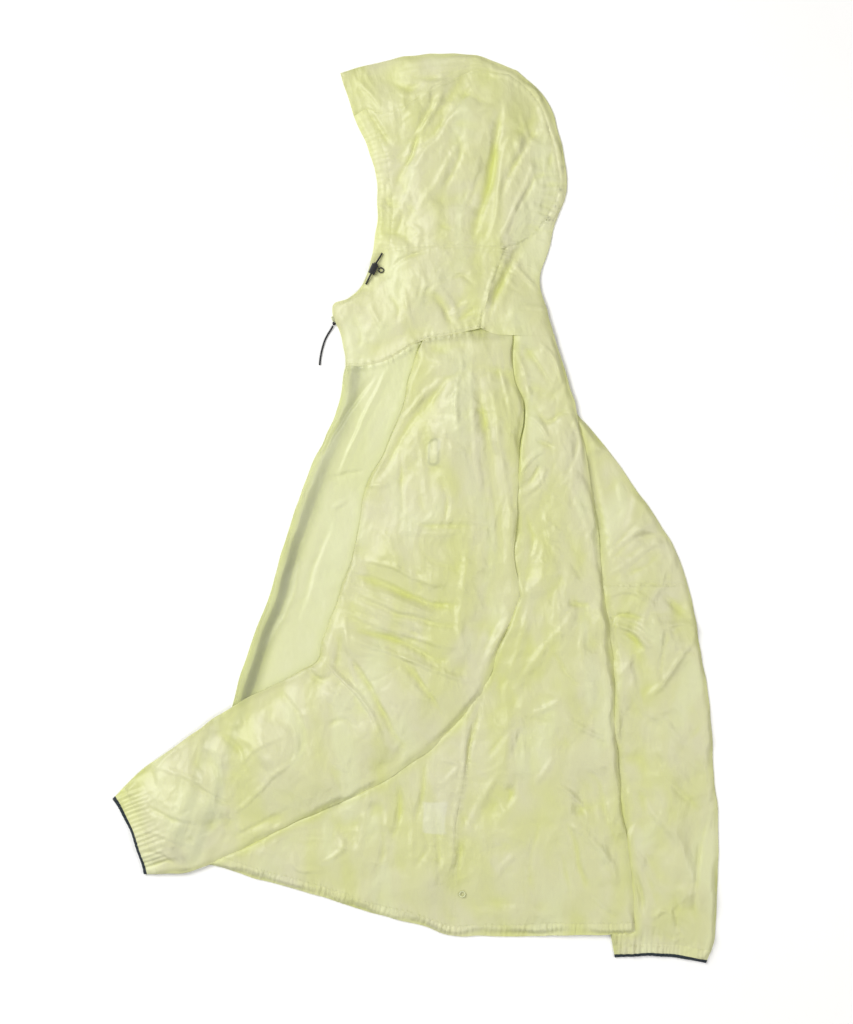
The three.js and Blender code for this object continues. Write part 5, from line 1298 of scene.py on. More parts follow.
def finish_piece(piece, nodes, slot, material):
    piece.data.materials.clear()
    piece.data.materials.append(material)
    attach(piece, "root")
    if nodes:
        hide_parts(*nodes)
    return piece


def new_object(name, mesh_builder):
    mesh = bpy.data.meshes.new(name)
    mesh_builder.to_mesh(mesh)
    mesh_builder.free()
    piece = bpy.data.objects.new(name, mesh)
    bpy.context.scene.collection.objects.link(piece)
    return piece


def patches(spacing, seed, heading, stretch):
    """Crisp patches of one tone each, placed at random, for the painted pearly sheen."""
    return smooth(-1.1, 1.1, np.round(1.3 * facets(spacing, seed, heading, stretch)) / 1.3)


# Where the cloth takes the painted pearly sheen.
PEARL = box_blur(0.6 * patches(40, 71, 80, 2.2) + 0.4 * patches(19, 72, 60, 1.8), 3)
LOOP_AT, LABEL_AT = (22, 62), (22.5, -339)
LOOP_SIZE, LABEL_SIZE = (13, 30), (26, 35)
CLOSED = 0.72  # least share of the view that the upper cloth stops, away from the zip
DEEPEST = 3.6  # depth of a trough that has the full painted trough shade
# Noise that varies the strength of the painted shade.
SHADE = band_noise(55, 81)
DRIFT = [band_noise(95, seed) * 0.7 + band_noise(34, seed + 1) * 0.3 for seed in (61, 63)]


def overlap_seams(points, reach=0.36):
    """Draws the edges of a grid of points out a little, so that neighbours meet at their seam."""
    out = points.copy()
    ends = ((np.s_[0], np.s_[1]), (np.s_[-1], np.s_[-2]))
    sides = ((np.s_[:, 0], np.s_[:, 1]), (np.s_[:, -1], np.s_[:, -2]))
    for edge, inner in ends + sides:
        way = points[edge][:, :3] - points[inner][:, :3]
        out[edge][:, :3] += way / np.maximum(np.linalg.norm(way, axis=1), 1e-3)[:, None] * reach
    return out


def shell(name, points, stack, nodes, slot, material, thick=CLOTH_THICK):
    """A thin cloth shell through a grid of points in millimetres."""
    points = overlap_seams(points)
    rows, columns = points.shape[:2]
    builder = bmesh.new()
    bmesh.ops.create_grid(builder, x_segments=rows - 1, y_segments=columns - 1, size=0.5)
    for edge in builder.edges:
        edge.smooth = not edge.is_boundary
    piece = new_object(name, builder)
    mesh = piece.data
    flat = np.empty(len(mesh.vertices) * 3)
    mesh.vertices.foreach_get("co", flat)
    flat = flat.reshape(-1, 3) + 0.5
    j = np.rint(flat[:, 0] * (rows - 1)).astype(int)
    i = np.rint(flat[:, 1] * (columns - 1)).astype(int)
    placed, layer = points[j, i, :3], points[j, i, 3]
    found = np.zeros(len(placed))
    # Painted shade: the further the cloth lies below its surroundings, the more trough colour it takes.
    if stack in DEPTH:
        found = np.clip(sample(DEPTH[stack], placed) / DEEPEST, 0, 1)
    # Painted shadow: body cloth under and just past the near sleeve's edge, and far-sleeve cloth under and just past
    # the body's edge, take trough colour.
    shade = {"body": in_left, "right": in_body}.get(stack)
    if shade is not None:
        found = np.maximum(found, 0.55 * smooth(11, 0, -sample(shade, placed)))
    # Painted light by the front edge of the body; the same values calm the bump there.
    thin = (1 - sample(CALM_FRONT, placed)) / (1 - CALM) * (stack == "body")
    pale, dark = seen_below(placed, stack)
    over = 1 - layer
    # The painted shade's strength varies by noise.
    found = found * (0.55 + 0.45 * smooth(-1, 1, sample(SHADE, placed)))
    # The depth attribute carries the painted shade, pearl the painted sheen, thin the painted light by the front
    # edge.
    tones = {
        "pale": pale * over,
        "dark": dark * over,
        "depth": found,
        "cover": covered(placed, layer, stack),
        "pearl": sample(PEARL, placed),
        "thin": thin,
    }
    for attribute, values in tones.items():
        made = mesh.attributes.new(attribute, "FLOAT", "POINT")
        made.data.foreach_set("value", values.astype(np.float32))
    placed[:, 0] += sample(DRIFT[0], points[j, i])
    placed[:, 1] += sample(DRIFT[1], points[j, i])
    placed = (placed - (*CENTRE, 0)) * MM
    mesh.vertices.foreach_set("co", placed.astype(np.float32).ravel())
    mesh.shade_smooth()
    mesh.update()
    wall = piece.modifiers.new("cloth thickness", "SOLIDIFY")
    wall.thickness = thick * MM
    wall.offset = 0
    CUTS[piece.name] = cut_of(points[..., :3])
    return finish_piece(piece, nodes, slot, material)


def panel_of(node, stack, runs, spacing=FINE, material=None, thick=CLOTH_THICK):
    """A shell of garment cloth in place of one solid."""
    points = stations(stack, runs, spacing)
    shell(f"{node}_cloth", points, stack, [node], "shell_cloth", material or cloth_near, thick)


CUTS = {}  # each cloth piece's flat width, length and area in metres


def cut_of(points):
    """The flat cut of a grid of cloth: its longest row, its longest column and its true area."""
    along_row, along_column = np.diff(points, axis=1), np.diff(points, axis=0)
    width = np.linalg.norm(along_row, axis=2).sum(1).max()
    length = np.linalg.norm(along_column, axis=2).sum(0).max()
    cells = np.cross(along_row[:-1], along_column[:, :-1])
    return width * MM, length * MM, np.linalg.norm(cells, axis=2).sum() * MM * MM


def covered(placed, layer, stack):
    """How far the view is stopped: least over the zip and along the edges."""
    inside = {"left": in_left, "right": in_right}.get(stack, in_garment)
    edge = 0.7 + 0.3 * smooth(0, 8, sample(inside, placed))
    closed = edge * np.maximum(CLOSED, layer)
    if stack == "body":
        zip_strip = smooth(30, 14, sample(from_front, placed))
        closed *= 1 - (1 - layer) * zip_strip * (0.45 + 0.3 * smooth(80, -80, placed[:, 1]))
    return closed


def rounded_box(x, y, middle, width, length, corner):
    """Distance inside a rounded rectangle, below nought outside it."""
    off_x = np.abs(x - middle[0]) - width / 2 + corner
    off_y = np.abs(y - middle[1]) - length / 2 + corner
    outside = np.hypot(np.maximum(off_x, 0), np.maximum(off_y, 0)) + np.minimum(np.maximum(off_x, off_y), 0)
    return corner - outside


def seen_below(placed, stack):
    """Pale and dark tints from the label, the loop and the zip pressed against the cloth from below."""
    x, y = placed[:, 0], placed[:, 1]
    pale, dark = np.zeros(len(placed)), np.zeros(len(placed))
    if stack == "body":
        pale = 0.5 * smooth(-0.8, 0.8, rounded_box(x, y, LABEL_AT, *LABEL_SIZE, 1))
        zip_band = smooth(13, 1, np.abs(sample(from_front, placed) - ZIP_SIDE / 2 - 4))
        dark = zip_band * (0.18 + 0.2 * smooth(40, -100, y))
    if stack == "left":
        outer = smooth(-1.3, 1.3, rounded_box(x, y, LOOP_AT, *LOOP_SIZE, 6))
        hole = smooth(-1.3, 1.3, rounded_box(x, y, LOOP_AT, LOOP_SIZE[0] - 5, LOOP_SIZE[1] - 6, 4))
        dark = 0.34 * outer * (1 - hole)
        pale = 0.12 * hole
        zip_band = smooth(8, 2, np.abs(sample(from_front, placed) - ZIP_SIDE / 2 - 3))
        dark = np.maximum(dark, 0.14 * zip_band * smooth(-150, -175, y))
    return pale, dark


def edges(tab, count, *keys, start=0.0, end=1.0):
    return [curve(line_of(tab, key), count, start, end) for key in keys]


def build_body():
    rows = int(570 / FINE)
    front, seam_edge, arm, back = edges(BODY, rows, "front_", "seam_", "arm_", "back_")
    under = 8 / 20  # share of the rows below which front and back meet at the side seam
    share = np.linspace(0, 1, rows + 1)
    arm = np.where((share < under)[:, None], arm, seam_edge + (0.15, 0))
    neck_front = curve(line_of(NECK_SEAM), 60, 0, 3 / 5)
    over = loft(front, seam_edge, 60, neck_front)
    total = [row_length(r) for r in over]
    facing = np.array([resample(r, 0, ZIP_FACING, 8)[::-1] for r in over])
    panel_of("front_left", "body", [("lower", facing), ("upper", over)])
    far = np.array([resample(r, ZIP_SIDE, t, 60) for r, t in zip(over[::2], total[::2])])
    panel_of("front_right", "body", [("lower", far)], COARSE, cloth_far)
    panel = loft(arm, back, 50)
    panel_of("back", "body", [("upper", panel), ("lower", panel[:, ::-1])])
    strips = (
        ("zip_tape_left", ZIP_FACING + SEAM_GAP, ZIP_TAPE, tape_paint, "zip_tape"),
        ("zip_coil", ZIP_FACING + ZIP_TAPE + 2 * SEAM_GAP, ZIP_COIL, coil_paint, "zip_coil"),
        ("zip_tape_right", ZIP_FACING + ZIP_TAPE + ZIP_COIL + 3 * SEAM_GAP, ZIP_TAPE, tape_paint, "zip_tape"),
    )
    for node, start, width, material, slot in strips:
        strip = np.array([resample(r, start, start + width, 4) for r in over])
        shell(f"{node}_woven", stations("body", [("lower", strip)], 1.0), "body", [node], slot, material, 0.6)


def build_yoke():
    top = np.linspace(*np.array(YOKE_TOP), 41)
    bottom = curve(line_of(YOKE_BOTTOM), 40) - (0, 1.3)
    v = np.linspace(-0.005, 1.005, 12)[:, None, None]
    panel = top[None] * (1 - v) + bottom[None] * v
    panel_of("back_yoke", "hood", [("upper", panel), ("lower", panel[:, ::-1])])


def head_line():
    """The line of the sleeve head: along the neck seam, then along the yoke."""
    neck = curve(line_of(NECK_SEAM), 40, 3 / 5, 1) - (0, SEAM_GAP)
    back = np.linspace(line_of(NECK_SEAM)[-1], line_of(LEFT_SLEEVE, "back_")[0], 18)
    shares = np.concatenate([np.linspace(0, 0.7, 41), np.linspace(0.7, 1, 18)[1:]])
    return shares, np.vstack([neck, back[1:]])


def across(front, back, share, bow=0.0, to_elbow=(0, 0)):
    """A point at a share of the way across each section."""
    at = front + (back - front) * share[:, None]
    return at + np.array(to_elbow) * (4 * share * (1 - share) * bow)[:, None]


def tube(front, back, hole1, hole2, seam_layer, correct=None, bow=None, to_elbow=(0, 0)):
    """Runs of a sleeve's cloth, wrapped round from one side of its seam to the other."""
    rows = len(front)
    bow = np.zeros(rows) if bow is None else bow
    far_layer = "upper" if seam_layer == "lower" else "lower"
    runs = []
    for layer, start, end, count in (
        (seam_layer, hole1, np.zeros(rows), 30),
        (far_layer, np.zeros(rows), np.ones(rows), 60),
        (seam_layer, np.ones(rows), hole2, 30),
    ):
        grid = []
        for j in range(rows):
            share = start[j] + (end[j] - start[j]) * np.linspace(0, 1, count + 1)
            line = across(front[j], back[j], share, bow[j], to_elbow)
            if correct is not None:
                line = line + correct(share, j / (rows - 1))
            grid.append(line)
        runs.append((layer, np.array(grid)))
    return runs


def build_sleeve(side, tab, cuff, seam_layer, rows, spacing):
    last = len(tab["front_x"]) - 1
    shares, head = head_line()
    first_front, first_back = line_of(tab, "front_")[0], line_of(tab, "back_")[0]

    def to_head(share, v):
        straight = across(first_front, first_back, share)
        wanted = np.stack([np.interp(share, shares, head[:, k]) for k in (0, 1)], 1)
        return (wanted - straight) * max(0.0, 1 - rows[0] * v / (rows[0] + 1)) ** 4

    def part(start, end, count):
        places = np.linspace(start, end, count + 1)
        front = curve(line_of(tab, "front_"), count, start / last, end / last)
        back = curve(line_of(tab, "back_"), count, start / last, end / last)
        holes = [np.interp(places, np.arange(last + 1), tab[key]) for key in ("hole1", "hole2")]
        return front, back, *holes

    upper_rows = int(290 / spacing)
    runs = tube(*part(0, ELBOW, upper_rows), seam_layer, to_head)
    panel_of(f"sleeve_{side}_upper", side, runs, spacing)
    casing_front, casing_back = line_of(tab, "front_")[last], line_of(tab, "back_")[last]
    end_front, end_back = np.array(cuff[0]), np.array(cuff[1])
    to_elbow = casing_front + casing_back - end_front - end_back
    to_elbow = to_elbow / np.linalg.norm(to_elbow)
    lower_rows = int(420 / spacing)
    front, back, hole1, hole2 = part(ELBOW, last, lower_rows)
    bow = CUFF_BOW * np.clip(1 - (1 - np.linspace(0, 1, lower_rows + 1)) * (rows[1] / 2), 0, 1)
    runs = tube(front, back, hole1, hole2, seam_layer, None, bow, to_elbow)
    panel_of(f"sleeve_{side}_lower", side, runs, spacing)
    for name, node, begin, end, count, material, slot, thick, step in (
        ("cuff_cloth", "cuff", CUFF_LENGTH - 0.1, BINDING_LENGTH + 0.1, 8, cloth_band, "shell_cloth", 0.5, 1.3),
        ("cuff_binding_tape", "cuff_binding", BINDING_LENGTH, 0.0, 4, binding_paint, "cuff_binding", 0.9, 1.3),
    ):
        distance = np.linspace(begin, end, count)
        share = (1 - distance / CUFF_LENGTH)[:, None]
        front = casing_front + (end_front - casing_front) * share
        back = casing_back + (end_back - casing_back) * share
        fixed = [np.full(count, tab[key][last]) for key in ("hole1", "hole2")]
        runs = tube(front, back, *fixed, seam_layer, None, np.full(count, float(CUFF_BOW)), to_elbow)
        shell(f"{name}_{side}", stations(side, runs, step), side, [f"{node}_{side}"], slot, material, thick)


def build_neck():
    front, back = edges(NECK, 70, "front_", "back_")
    grid = loft(front, back, 80, curve(line_of(NECK_SEAM), 80))
    panel_of("neck_left", "hood", [("upper", grid)])
    panel_of("neck_right", "hood", [("lower", grid[::2])], COARSE, cloth_far)


def build_hood():
    front, back = edges(HOOD, 100, "front_", "back_")
    brim = curve(line_of(BRIM_SEAM), 80)
    grid = loft(front, back, 80, None, brim)
    casing_front, casing_back = edges(CASING, 100, "front_", "back_")
    casing = loft(casing_front, casing_back, 12)
    for side, layer, material, band, step, spacing in (
        ("left", "upper", cloth_near, cloth_band, 1, FINE),
        ("right", "lower", cloth_far, cloth_far, 2, COARSE),
    ):
        panel_of(f"hood_side_{side}", "hood", [(layer, grid[::step])], spacing, material)
        panel_of(f"face_casing_{side}", "hood", [(layer, casing[::step])], spacing, band, 0.5)
    near = np.vstack(
        [
            line_of(CASING, "front_")[-1:],
            curve(line_of(BRIM_SEAM), 78),
            curve(line_of(HOOD, "back_"), 84)[::-1][1:],
            curve(line_of(NECK, "back_"), 52)[::-1][1:],
        ]
    )
    far = np.vstack(
        [
            curve(line_of(CROWN_BRIM), 79),
            curve(line_of(CROWN_BACK), 84)[1:],
            curve(line_of(CROWN_NAPE), 52)[1:],
        ]
    )
    panel = loft(near, far, 12)
    panel_of("hood_centre", "hood", [("upper", panel), ("lower", panel[:, ::-1])])


def build_hem():
    """The gathered casing, round the near side from the zip and back along the far side."""
    top = np.vstack([np.linspace(hem_top[0], hem_top[1], 120), np.linspace(hem_top[1], hem_top[2], 84)[1:]])
    share = np.linspace(0, 1, 84)
    back = np.array(HEM_SIDE) + (np.array(HEM_BACK) - HEM_SIDE) * share[:, None]
    back[:, 1] -= HEM_SAG * 4 * share * (1 - share)
    bottom = np.vstack([np.linspace(HEM_FRONT, HEM_SIDE, 120), back[1:]])
    v = np.linspace(0.01, 1, 9)[:, None, None]
    line = top[None] * (1 - v) + bottom[None] * v
    facing = np.array([resample(r, 0, ZIP_FACING, 6)[::-1] for r in line])
    under = np.array([resample(r, ZIP_SIDE, row_length(r), 200)[::-1] for r in line])
    panel_of("hem_casing", "body", [("lower", facing), ("upper", line), ("lower", under)], 1.4, cloth_band, 0.45)


build_body()
build_yoke()
build_sleeve("left", LEFT_SLEEVE, LEFT_CUFF, "lower", (13, 15), FINE)
build_sleeve("right", RIGHT_SLEEVE, RIGHT_CUFF, "upper", (10, 12), 2.4)
build_neck()
build_hood()
build_hem()

# Cords, each along its own line of points, as in the solids.
DRAW_CORD_ROUTE = [
    (-35.6, 280.5, 4.9),
    (-37.6, 276.8, 5.2),
    (-39.8, 273.2, 5.9),
    (-41.3, 270.8, 6.4),
    (-42.3, 269.0, 6.5),
    (-45.2, 262.9, 6.5),
    (-48.1, 256.8, 6.5),
    (-49.4, 254.2, 6.2),
    (-51.2, 250.6, 5.2),
    (-53.4, 246.2, 4.5),
]
PULL_CORD_ROUTE = [
    (-89.6, 200.9, 2.0),
    (-92.0, 196.6, 1.4),
    (-95.2, 191.6, 1.1),
    (-98.1, 186.0, 1.1),
    (-100.4, 179.6, 1.1),
    (-102.2, 172.8, 1.1),
    (-103.6, 165.2, 1.1),
    (-104.4, 157.6, 1.1),
]
CORD_DIAMETER = 2.0
CORD_LOCK_TURN, SLIDER_TURN = -0.45, 0.35


def build_cord(name, node, route):
    """A limp braided cord as one open curve."""
    points = (curve(route, 40) - (*CENTRE, 0)) * MM
    data = bpy.data.curves.new(name, "CURVE")
    data.dimensions, data.use_fill_caps = "3D", True
    data.bevel_depth, data.bevel_resolution = CORD_DIAMETER / 2 * MM, 3
    spline = data.splines.new("POLY")
    spline.points.add(len(points) - 1)
    spline.points.foreach_set("co", np.column_stack([points, np.ones(len(points))]).ravel())
    piece = bpy.data.objects.new(name, data)
    bpy.context.scene.collection.objects.link(piece)
    finish_piece(piece, [node], "black_cord", black_cord)
    return piece, points


def node_middle(node):
    """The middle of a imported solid's box, in metres."""
    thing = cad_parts[node]
    corners = np.array([thing.matrix_world @ Vector(corner) for corner in thing.bound_box])
    return Vector((corners.min(0) + corners.max(0)) / 2)


def placed_at(middle, turn, size=(1, 1, 1), tilt=0.0):
    scale = Matrix.Diagonal((*size, 1))
    return Matrix.Translation(middle) @ Matrix.Rotation(turn, 4, "Z") @ Matrix.Rotation(tilt, 4, "X") @ scale


def bar_on(node, turn):
    """A function that places a bar of its own size beside the middle of a turned solid, in millimetres."""
    middle = node_middle(node)

    def at(aside, ahead, up, width, length, height):
        offset = Matrix.Rotation(turn, 3, "Z") @ Vector((aside, ahead, 0))
        size = (width * MM, length * MM, height * MM)
        return placed_at(middle + (offset + Vector((0, 0, up))) * MM, turn, size)

    return at


def rounded_bars(name, bars, bevel, segments=3):
    """Boxes with rounded edges in one mesh: each a matrix that scales and places a unit cube."""
    builder = bmesh.new()
    for matrix in bars:
        bmesh.ops.create_cube(builder, size=1.0, matrix=matrix)
    bmesh.ops.bevel(
        builder, geom=builder.edges[:], offset=bevel, affect="EDGES", segments=segments, profile=0.5, material=-1
    )
    for face in builder.faces:
        face.smooth = True
    return new_object(name, builder)


def round_ring(name, middle, radius, thick, flatten=1.0, steps=40):
    """A ring of round section lying level."""
    builder = bmesh.new()
    side = Matrix.Translation((radius, 0, 0)) @ Matrix.Rotation(math.pi / 2, 4, "X")
    ring = bmesh.ops.create_circle(builder, segments=12, radius=thick / 2, matrix=side)
    edges = list({edge for vertex in ring["verts"] for edge in vertex.link_edges})
    bmesh.ops.spin(
        builder, geom=edges + ring["verts"], axis=(0, 0, 1), angle=2 * math.pi, steps=steps, use_merge=True
    )
    bmesh.ops.remove_doubles(builder, verts=builder.verts[:], dist=1e-6)
    placed = Matrix.Translation(middle) @ Matrix.Diagonal((1, 1, flatten, 1))
    bmesh.ops.transform(builder, matrix=placed, verts=builder.verts[:])
    bmesh.ops.recalc_face_normals(builder, faces=builder.faces[:])
    for face in builder.faces:
        face.smooth = True
    return new_object(name, builder)


def build_lock():
    """The cord lock: two cheeks and a cap over the cord, grip ribs, and a plunger at the upper end."""
    at = bar_on("cord_lock", CORD_LOCK_TURN)
    bars = [at(-2.6, 0, -0.2, 2.0, 11.4, 3.8), at(2.6, 0, -0.2, 2.0, 11.4, 3.8), at(0, 0, 1.4, 7.2, 11.0, 1.7)]
    bars += [at(0, step, 2.15, 6.2, 0.8, 0.7) for step in (-3.2, -1.2, 0.8, 2.8)]
    bars += [at(0, 6.2, 0.4, 4.6, 1.8, 2.6)]
    body = rounded_bars("cord_lock_body", bars, 0.26 * MM)
    lock = finish_piece(body, ["cord_lock"], "black_plastic", black_plastic)
    ring = round_ring("cord_lock_open_ring", node_middle("cord_lock_ring"), 2.65 * MM, 1.35 * MM, 0.85)
    finish_piece(ring, ["cord_lock_ring"], "black_plastic", black_plastic)
    return [lock, ring]


def build_slider():
    """The zip slider: a waisted body, a bridge over it, and the cord's knot."""
    at = bar_on("zip_slider", SLIDER_TURN)
    bars = [at(0, 0, -0.9, 2.8, 5.8, 0.8), at(0, 0, 0.35, 2.6, 5.6, 0.7), at(0, 0, -0.3, 0.9, 4.6, 1.2)]
    bars += [at(0, -1.7, 0.95, 0.8, 0.8, 0.9), at(0, 1.7, 0.95, 0.8, 0.8, 0.9), at(0, 0, 1.2, 0.8, 4.2, 0.4)]
    finish_piece(rounded_bars("zip_slider_body", bars, 0.13 * MM), ["zip_slider"], "zip_slider", slider_paint)
    builder = bmesh.new()
    for turn, push in ((0.4, (0.3, 0.2, 0)), (2.1, (-0.4, 0.3, 0.1)), (3.6, (0.1, -0.5, -0.1))):
        middle = node_middle("zip_pull_knot") + Vector(push) * MM
        bmesh.ops.create_uvsphere(
            builder,
            u_segments=20,
            v_segments=12,
            radius=1.0,
            matrix=placed_at(middle, turn, (1.75 * MM, 1.2 * MM, 1.45 * MM), 0.5),
        )
    for face in builder.faces:
        face.smooth = True
    return finish_piece(new_object("pull_knot_turns", builder), ["zip_pull_knot"], "black_cord", black_cord)


def build_eyelet():
    rim = round_ring("hem_eyelet_rim", node_middle("hem_eyelet"), 3.0 * MM, 1.6 * MM, 0.62)
    finish_piece(rim, ["hem_eyelet"], "eyelet", eyelet_paint)


def flat_piece(name, x, y, node, slot, material, thick):
    """A small trim at the level of its solid, from two grids of places in millimetres."""
    level = np.full(x.shape, node_middle(node)[2] / MM)
    points = np.stack([x, y, level, np.zeros(x.shape)], 2)
    shell(name, points, "trim", [node], slot, material, thick)


def build_trims():
    """The care label, blank, and the inner tape loop."""
    u, v = np.meshgrid(np.linspace(-0.5, 0.5, 27), np.linspace(-0.5, 0.5, 36))
    flat_piece(
        "care_label_satin",
        LABEL_AT[0] + u * LABEL_SIZE[0],
        LABEL_AT[1] + v * LABEL_SIZE[1],
        "care_label",
        "label_cloth",
        label_paint,
        0.5,
    )
    angle, share = np.meshgrid(np.linspace(0, 2 * math.pi, 121), np.linspace(0, 1, 4), indexing="ij")
    width, length = (size / 2 - 2.3 * share for size in LOOP_SIZE)
    straight = length - width
    x = width * np.cos(angle)
    y = width * np.sin(angle) + straight * np.tanh(4 * np.sin(angle))
    flat_piece("inner_tape_loop", LOOP_AT[0] + x, LOOP_AT[1] + y, "inner_loop", "inner_tape", loop_paint, 0.6)


def surface_points(stack, layer, line, lift):
    """A line laid on a cloth surface, in metres, drifting with it."""
    z = sample(HEIGHTS[stack][layer], line) + lift
    drift = np.stack([sample(DRIFT[0], line), sample(DRIFT[1], line)], 1)
    return (np.column_stack([line + drift, z]) - (*CENTRE, 0)) * MM


def repeated(name, points, size, pitch, material, slot=None, tilt=0.0):
    """Small bars set one after another along a line."""
    reach = np.concatenate([[0], np.cumsum(np.linalg.norm(np.diff(points, axis=0), axis=1))])
    places = np.arange(pitch * 0.5, reach[-1], pitch)
    at = np.stack([np.interp(places, reach, points[:, k]) for k in range(3)], 1)
    ahead = np.stack([np.interp(places + pitch * 0.3, reach, points[:, k]) for k in range(3)], 1) - at
    builder = bmesh.new()
    for place, way in zip(at, ahead):
        way = Vector(way)
        if way.length < 1e-7:
            continue
        turn = way.to_track_quat("X", "Z").to_matrix().to_4x4()
        matrix = Matrix.Translation(place) @ turn @ Matrix.Rotation(tilt, 4, "Z") @ Matrix.Diagonal((*size, 1))
        bmesh.ops.create_cube(builder, size=1.0, matrix=matrix)
    return finish_piece(new_object(name, builder), [], slot, material)


STITCH = (2.0 * MM, 0.34 * MM, 0.22 * MM)
STITCH_PITCH = 2.7 * MM
TOOTH = (0.7 * MM, 2.2 * MM, 0.7 * MM)
TOOTH_PITCH = 1.3 * MM


def build_sewing():
    """Rows of stitches beside the seams, and the coil's teeth."""
    casing_top = curve(line_of(CASING, "back_"), 60)
    left_last, right_last = section_line(LEFT_SLEEVE, -1), section_line(RIGHT_SLEEVE, -1)
    hem_seam = np.vstack([np.linspace(hem_top[0], hem_top[1], 140), np.linspace(*hem_top[1:], 90)[1:]])
    rows = {
        "sewing_face_casing": ("hood", casing_top + (-1.2, 0)),
        "sewing_brim_seam": ("hood", curve(line_of(BRIM_SEAM), 80) + (0.8, -2.4)),
        "sewing_hood_back": ("hood", curve(line_of(HOOD, "back_"), 80) + (-2.4, 0)),
        "sewing_hood_seam": ("hood", hood_seam_line(2.2)),
        "sewing_neck_upper_row": ("hood", curve(line_of(NECK_SEAM), 80) + (-0.6, 2.6)),
        "sewing_neck_back": ("hood", curve(line_of(NECK, "back_"), 60) + (-2.4, 0)),
        "sewing_yoke": ("body", curve(line_of(YOKE_BOTTOM)[2:], 30) + (0, -2.2)),
        "sewing_side_seam": ("body", curve(line_of(BODY, "seam_")[9:], 70) + (2.6, 0)),
        "sewing_right_elbow": ("right", right_elbow[3:] + (0, -2.4)),
        "sewing_left_cuff": ("left", left_last + (1.4, 1.2)),
        "sewing_right_cuff": ("right", right_last + (0, 1.4)),
        "sewing_hem": ("body", hem_seam + (0, 1.4)),
    }
    for name, (stack, line) in rows.items():
        repeated(name, surface_points(stack, "upper", line, 0.2), STITCH, STITCH_PITCH, thread_paint)
    front = curve(line_of(BODY, "front_"), 570)
    seam_side = curve(line_of(BODY, "seam_"), 570)
    way = (seam_side - front) / np.linalg.norm(seam_side - front, axis=1)[:, None]
    coil = front + way * (ZIP_FACING + ZIP_TAPE + 2 * SEAM_GAP + ZIP_COIL / 2)
    points = surface_points("body", "lower", coil, 0.45)
    repeated("zip_teeth", points, TOOTH, TOOTH_PITCH, coil_paint, "zip_coil", 0.25)


def hood_seam_line(up):
    return np.array([np.linspace(a, b, 30) for a, b in zip(hood_seam, hood_seam[1:])]).reshape(-1, 2) + (0, up)


lock_pieces = build_lock()
knot = build_slider()
build_eyelet()
build_trims()
build_sewing()
draw_cord, draw_points = build_cord("face_drawcord_end", "draw_cord", DRAW_CORD_ROUTE)
pull_cord, pull_points = build_cord("zip_cord_puller", "zip_pull_cord", PULL_CORD_ROUTE)

for piece, points, extra in ((draw_cord, draw_points, lock_pieces), (pull_cord, pull_points, [knot])):
    tuple(points[0])
    row_length(points)
    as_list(extra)

# Each panel's cut, printed; the table also lists what each lies on and the trims sewn to it, which nothing uses.
GATHERED = 1.25  # how much longer a drawn-in band is cut than it lies
SHEETS = {
    "front_left_cloth": ([], ["zip_tape_left_woven", "zip_coil_woven", "zip_teeth"]),
    "front_right_cloth": (["back_cloth"], ["zip_tape_right_woven", "sewing_side_seam"]),
    "back_cloth": (["sleeve_right_upper_cloth"], ["care_label_satin", "sewing_yoke"]),
    "back_yoke_cloth": ([], []),
    "sleeve_left_upper_cloth": (["front_left_cloth", "back_cloth"], ["inner_tape_loop"]),
    "sleeve_left_lower_cloth": (["front_left_cloth", "back_cloth"], []),
    "sleeve_right_upper_cloth": ([], ["sewing_right_elbow"]),
    "sleeve_right_lower_cloth": ([], []),
    "cuff_cloth_left": ([], ["cuff_binding_tape_left", "sewing_left_cuff"]),
    "cuff_cloth_right": ([], ["cuff_binding_tape_right", "sewing_right_cuff"]),
    "neck_left_cloth": (["neck_right_cloth"], ["sewing_neck_upper_row", "sewing_hood_seam"]),
    "neck_right_cloth": ([], []),
    "hood_side_left_cloth": (["hood_side_right_cloth"], ["sewing_brim_seam"]),
    "hood_side_right_cloth": ([], []),
    "face_casing_left_cloth": (["face_casing_right_cloth"], ["sewing_face_casing"]),
    "face_casing_right_cloth": ([], []),
    "hood_centre_cloth": ([], ["sewing_hood_back", "sewing_neck_back"]),
    "hem_casing_cloth": ([], ["sewing_hem"]),
}
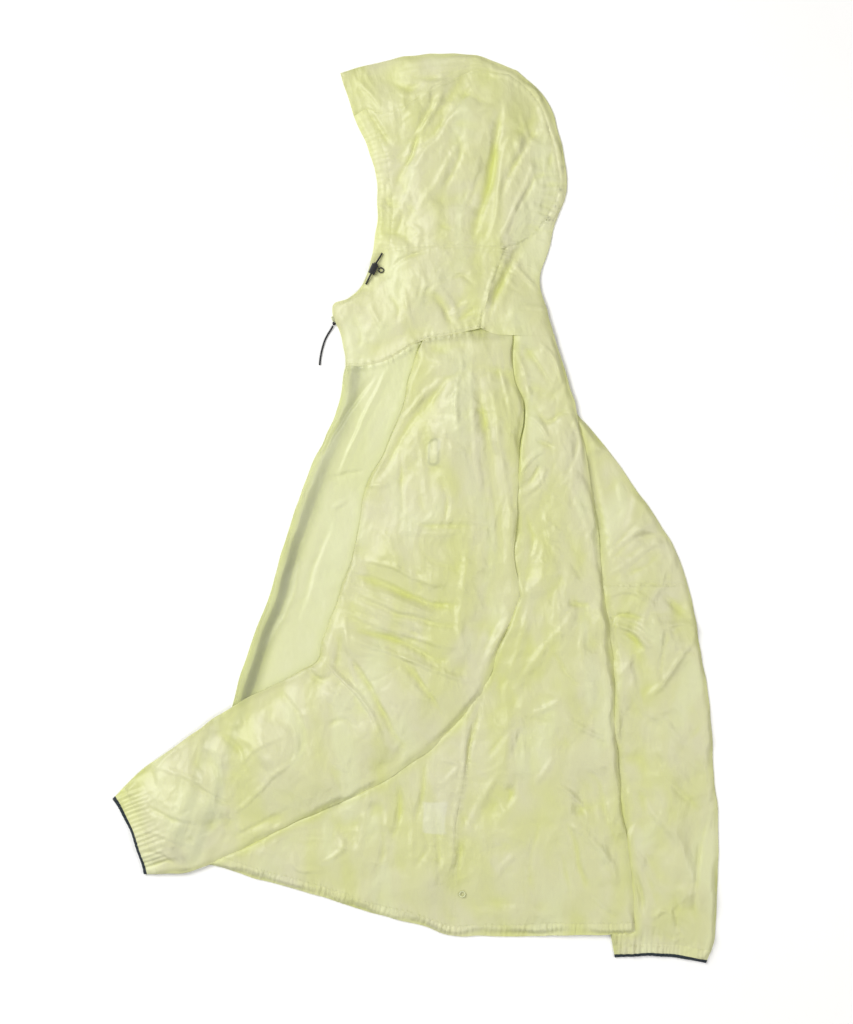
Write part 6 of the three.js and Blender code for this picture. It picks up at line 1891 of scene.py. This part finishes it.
for name, (below, trims) in SHEETS.items():
    width, length, area = CUTS[name]
    gathered = name.startswith(("cuff", "hem"))
    if gathered:
        width, area = width * GATHERED, area * GATHERED
    print(f"cut of {name}: {width:.3f} x {length:.3f} m, {area:.4f} m2")
    min(area, width * length)

# Floor, light and camera.

FLOOR_SIZE = 6.0
builder = bmesh.new()
bmesh.ops.create_grid(builder, x_segments=1, y_segments=1, size=FLOOR_SIZE / 2)
floor = new_object("pale_floor", builder)
floor.data.materials.append(floor_paint)

LENS, SENSOR = 100.0, 36.0
FRAME_HEIGHT = 1024 * 1.1 * MM
LOOK_AT = Vector((12.1 * MM, -4.7 * MM, 0.0))
camera_data = bpy.data.cameras.new("camera")
camera_data.lens, camera_data.sensor_width = LENS, SENSOR
camera = bpy.data.objects.new("camera", camera_data)
camera.location = LOOK_AT + Vector((0, 0, FRAME_HEIGHT * LENS / SENSOR))
bpy.context.scene.collection.objects.link(camera)
bpy.context.scene.camera = camera


def soft_light(name, heading, tilt, distance, size, power, colour):
    """A square softbox that looks at the jacket from a heading and a tilt from straight above."""
    out, up = math.sin(math.radians(tilt)) * distance, math.cos(math.radians(tilt)) * distance
    data = bpy.data.lights.new(name, "AREA")
    data.shape, data.size, data.energy, data.color = "SQUARE", size, power, colour
    light = bpy.data.objects.new(name, data)
    light.location = (out * math.cos(math.radians(heading)), out * math.sin(math.radians(heading)), up)
    light.rotation_euler = (-light.location).to_track_quat("-Z", "Y").to_euler()
    bpy.context.scene.collection.objects.link(light)


soft_light("key softbox", 150, 42, 2.3, 1.5, 51, (1.0, 1.0, 0.98))
soft_light("side softbox", -15, 42, 2.3, 1.4, 20, (1.0, 0.97, 0.93))
soft_light("low softbox", 262, 48, 2.4, 0.9, 8, (0.97, 0.99, 1.0))

world = bpy.data.worlds.new("pale room")
world.use_nodes = True
world.node_tree.nodes["Background"].inputs[0].default_value = (1.0, 1.0, 1.0, 1.0)
world.node_tree.nodes["Background"].inputs[1].default_value = 0.22
bpy.context.scene.world = world
bpy.context.scene.view_settings.view_transform = "Standard"
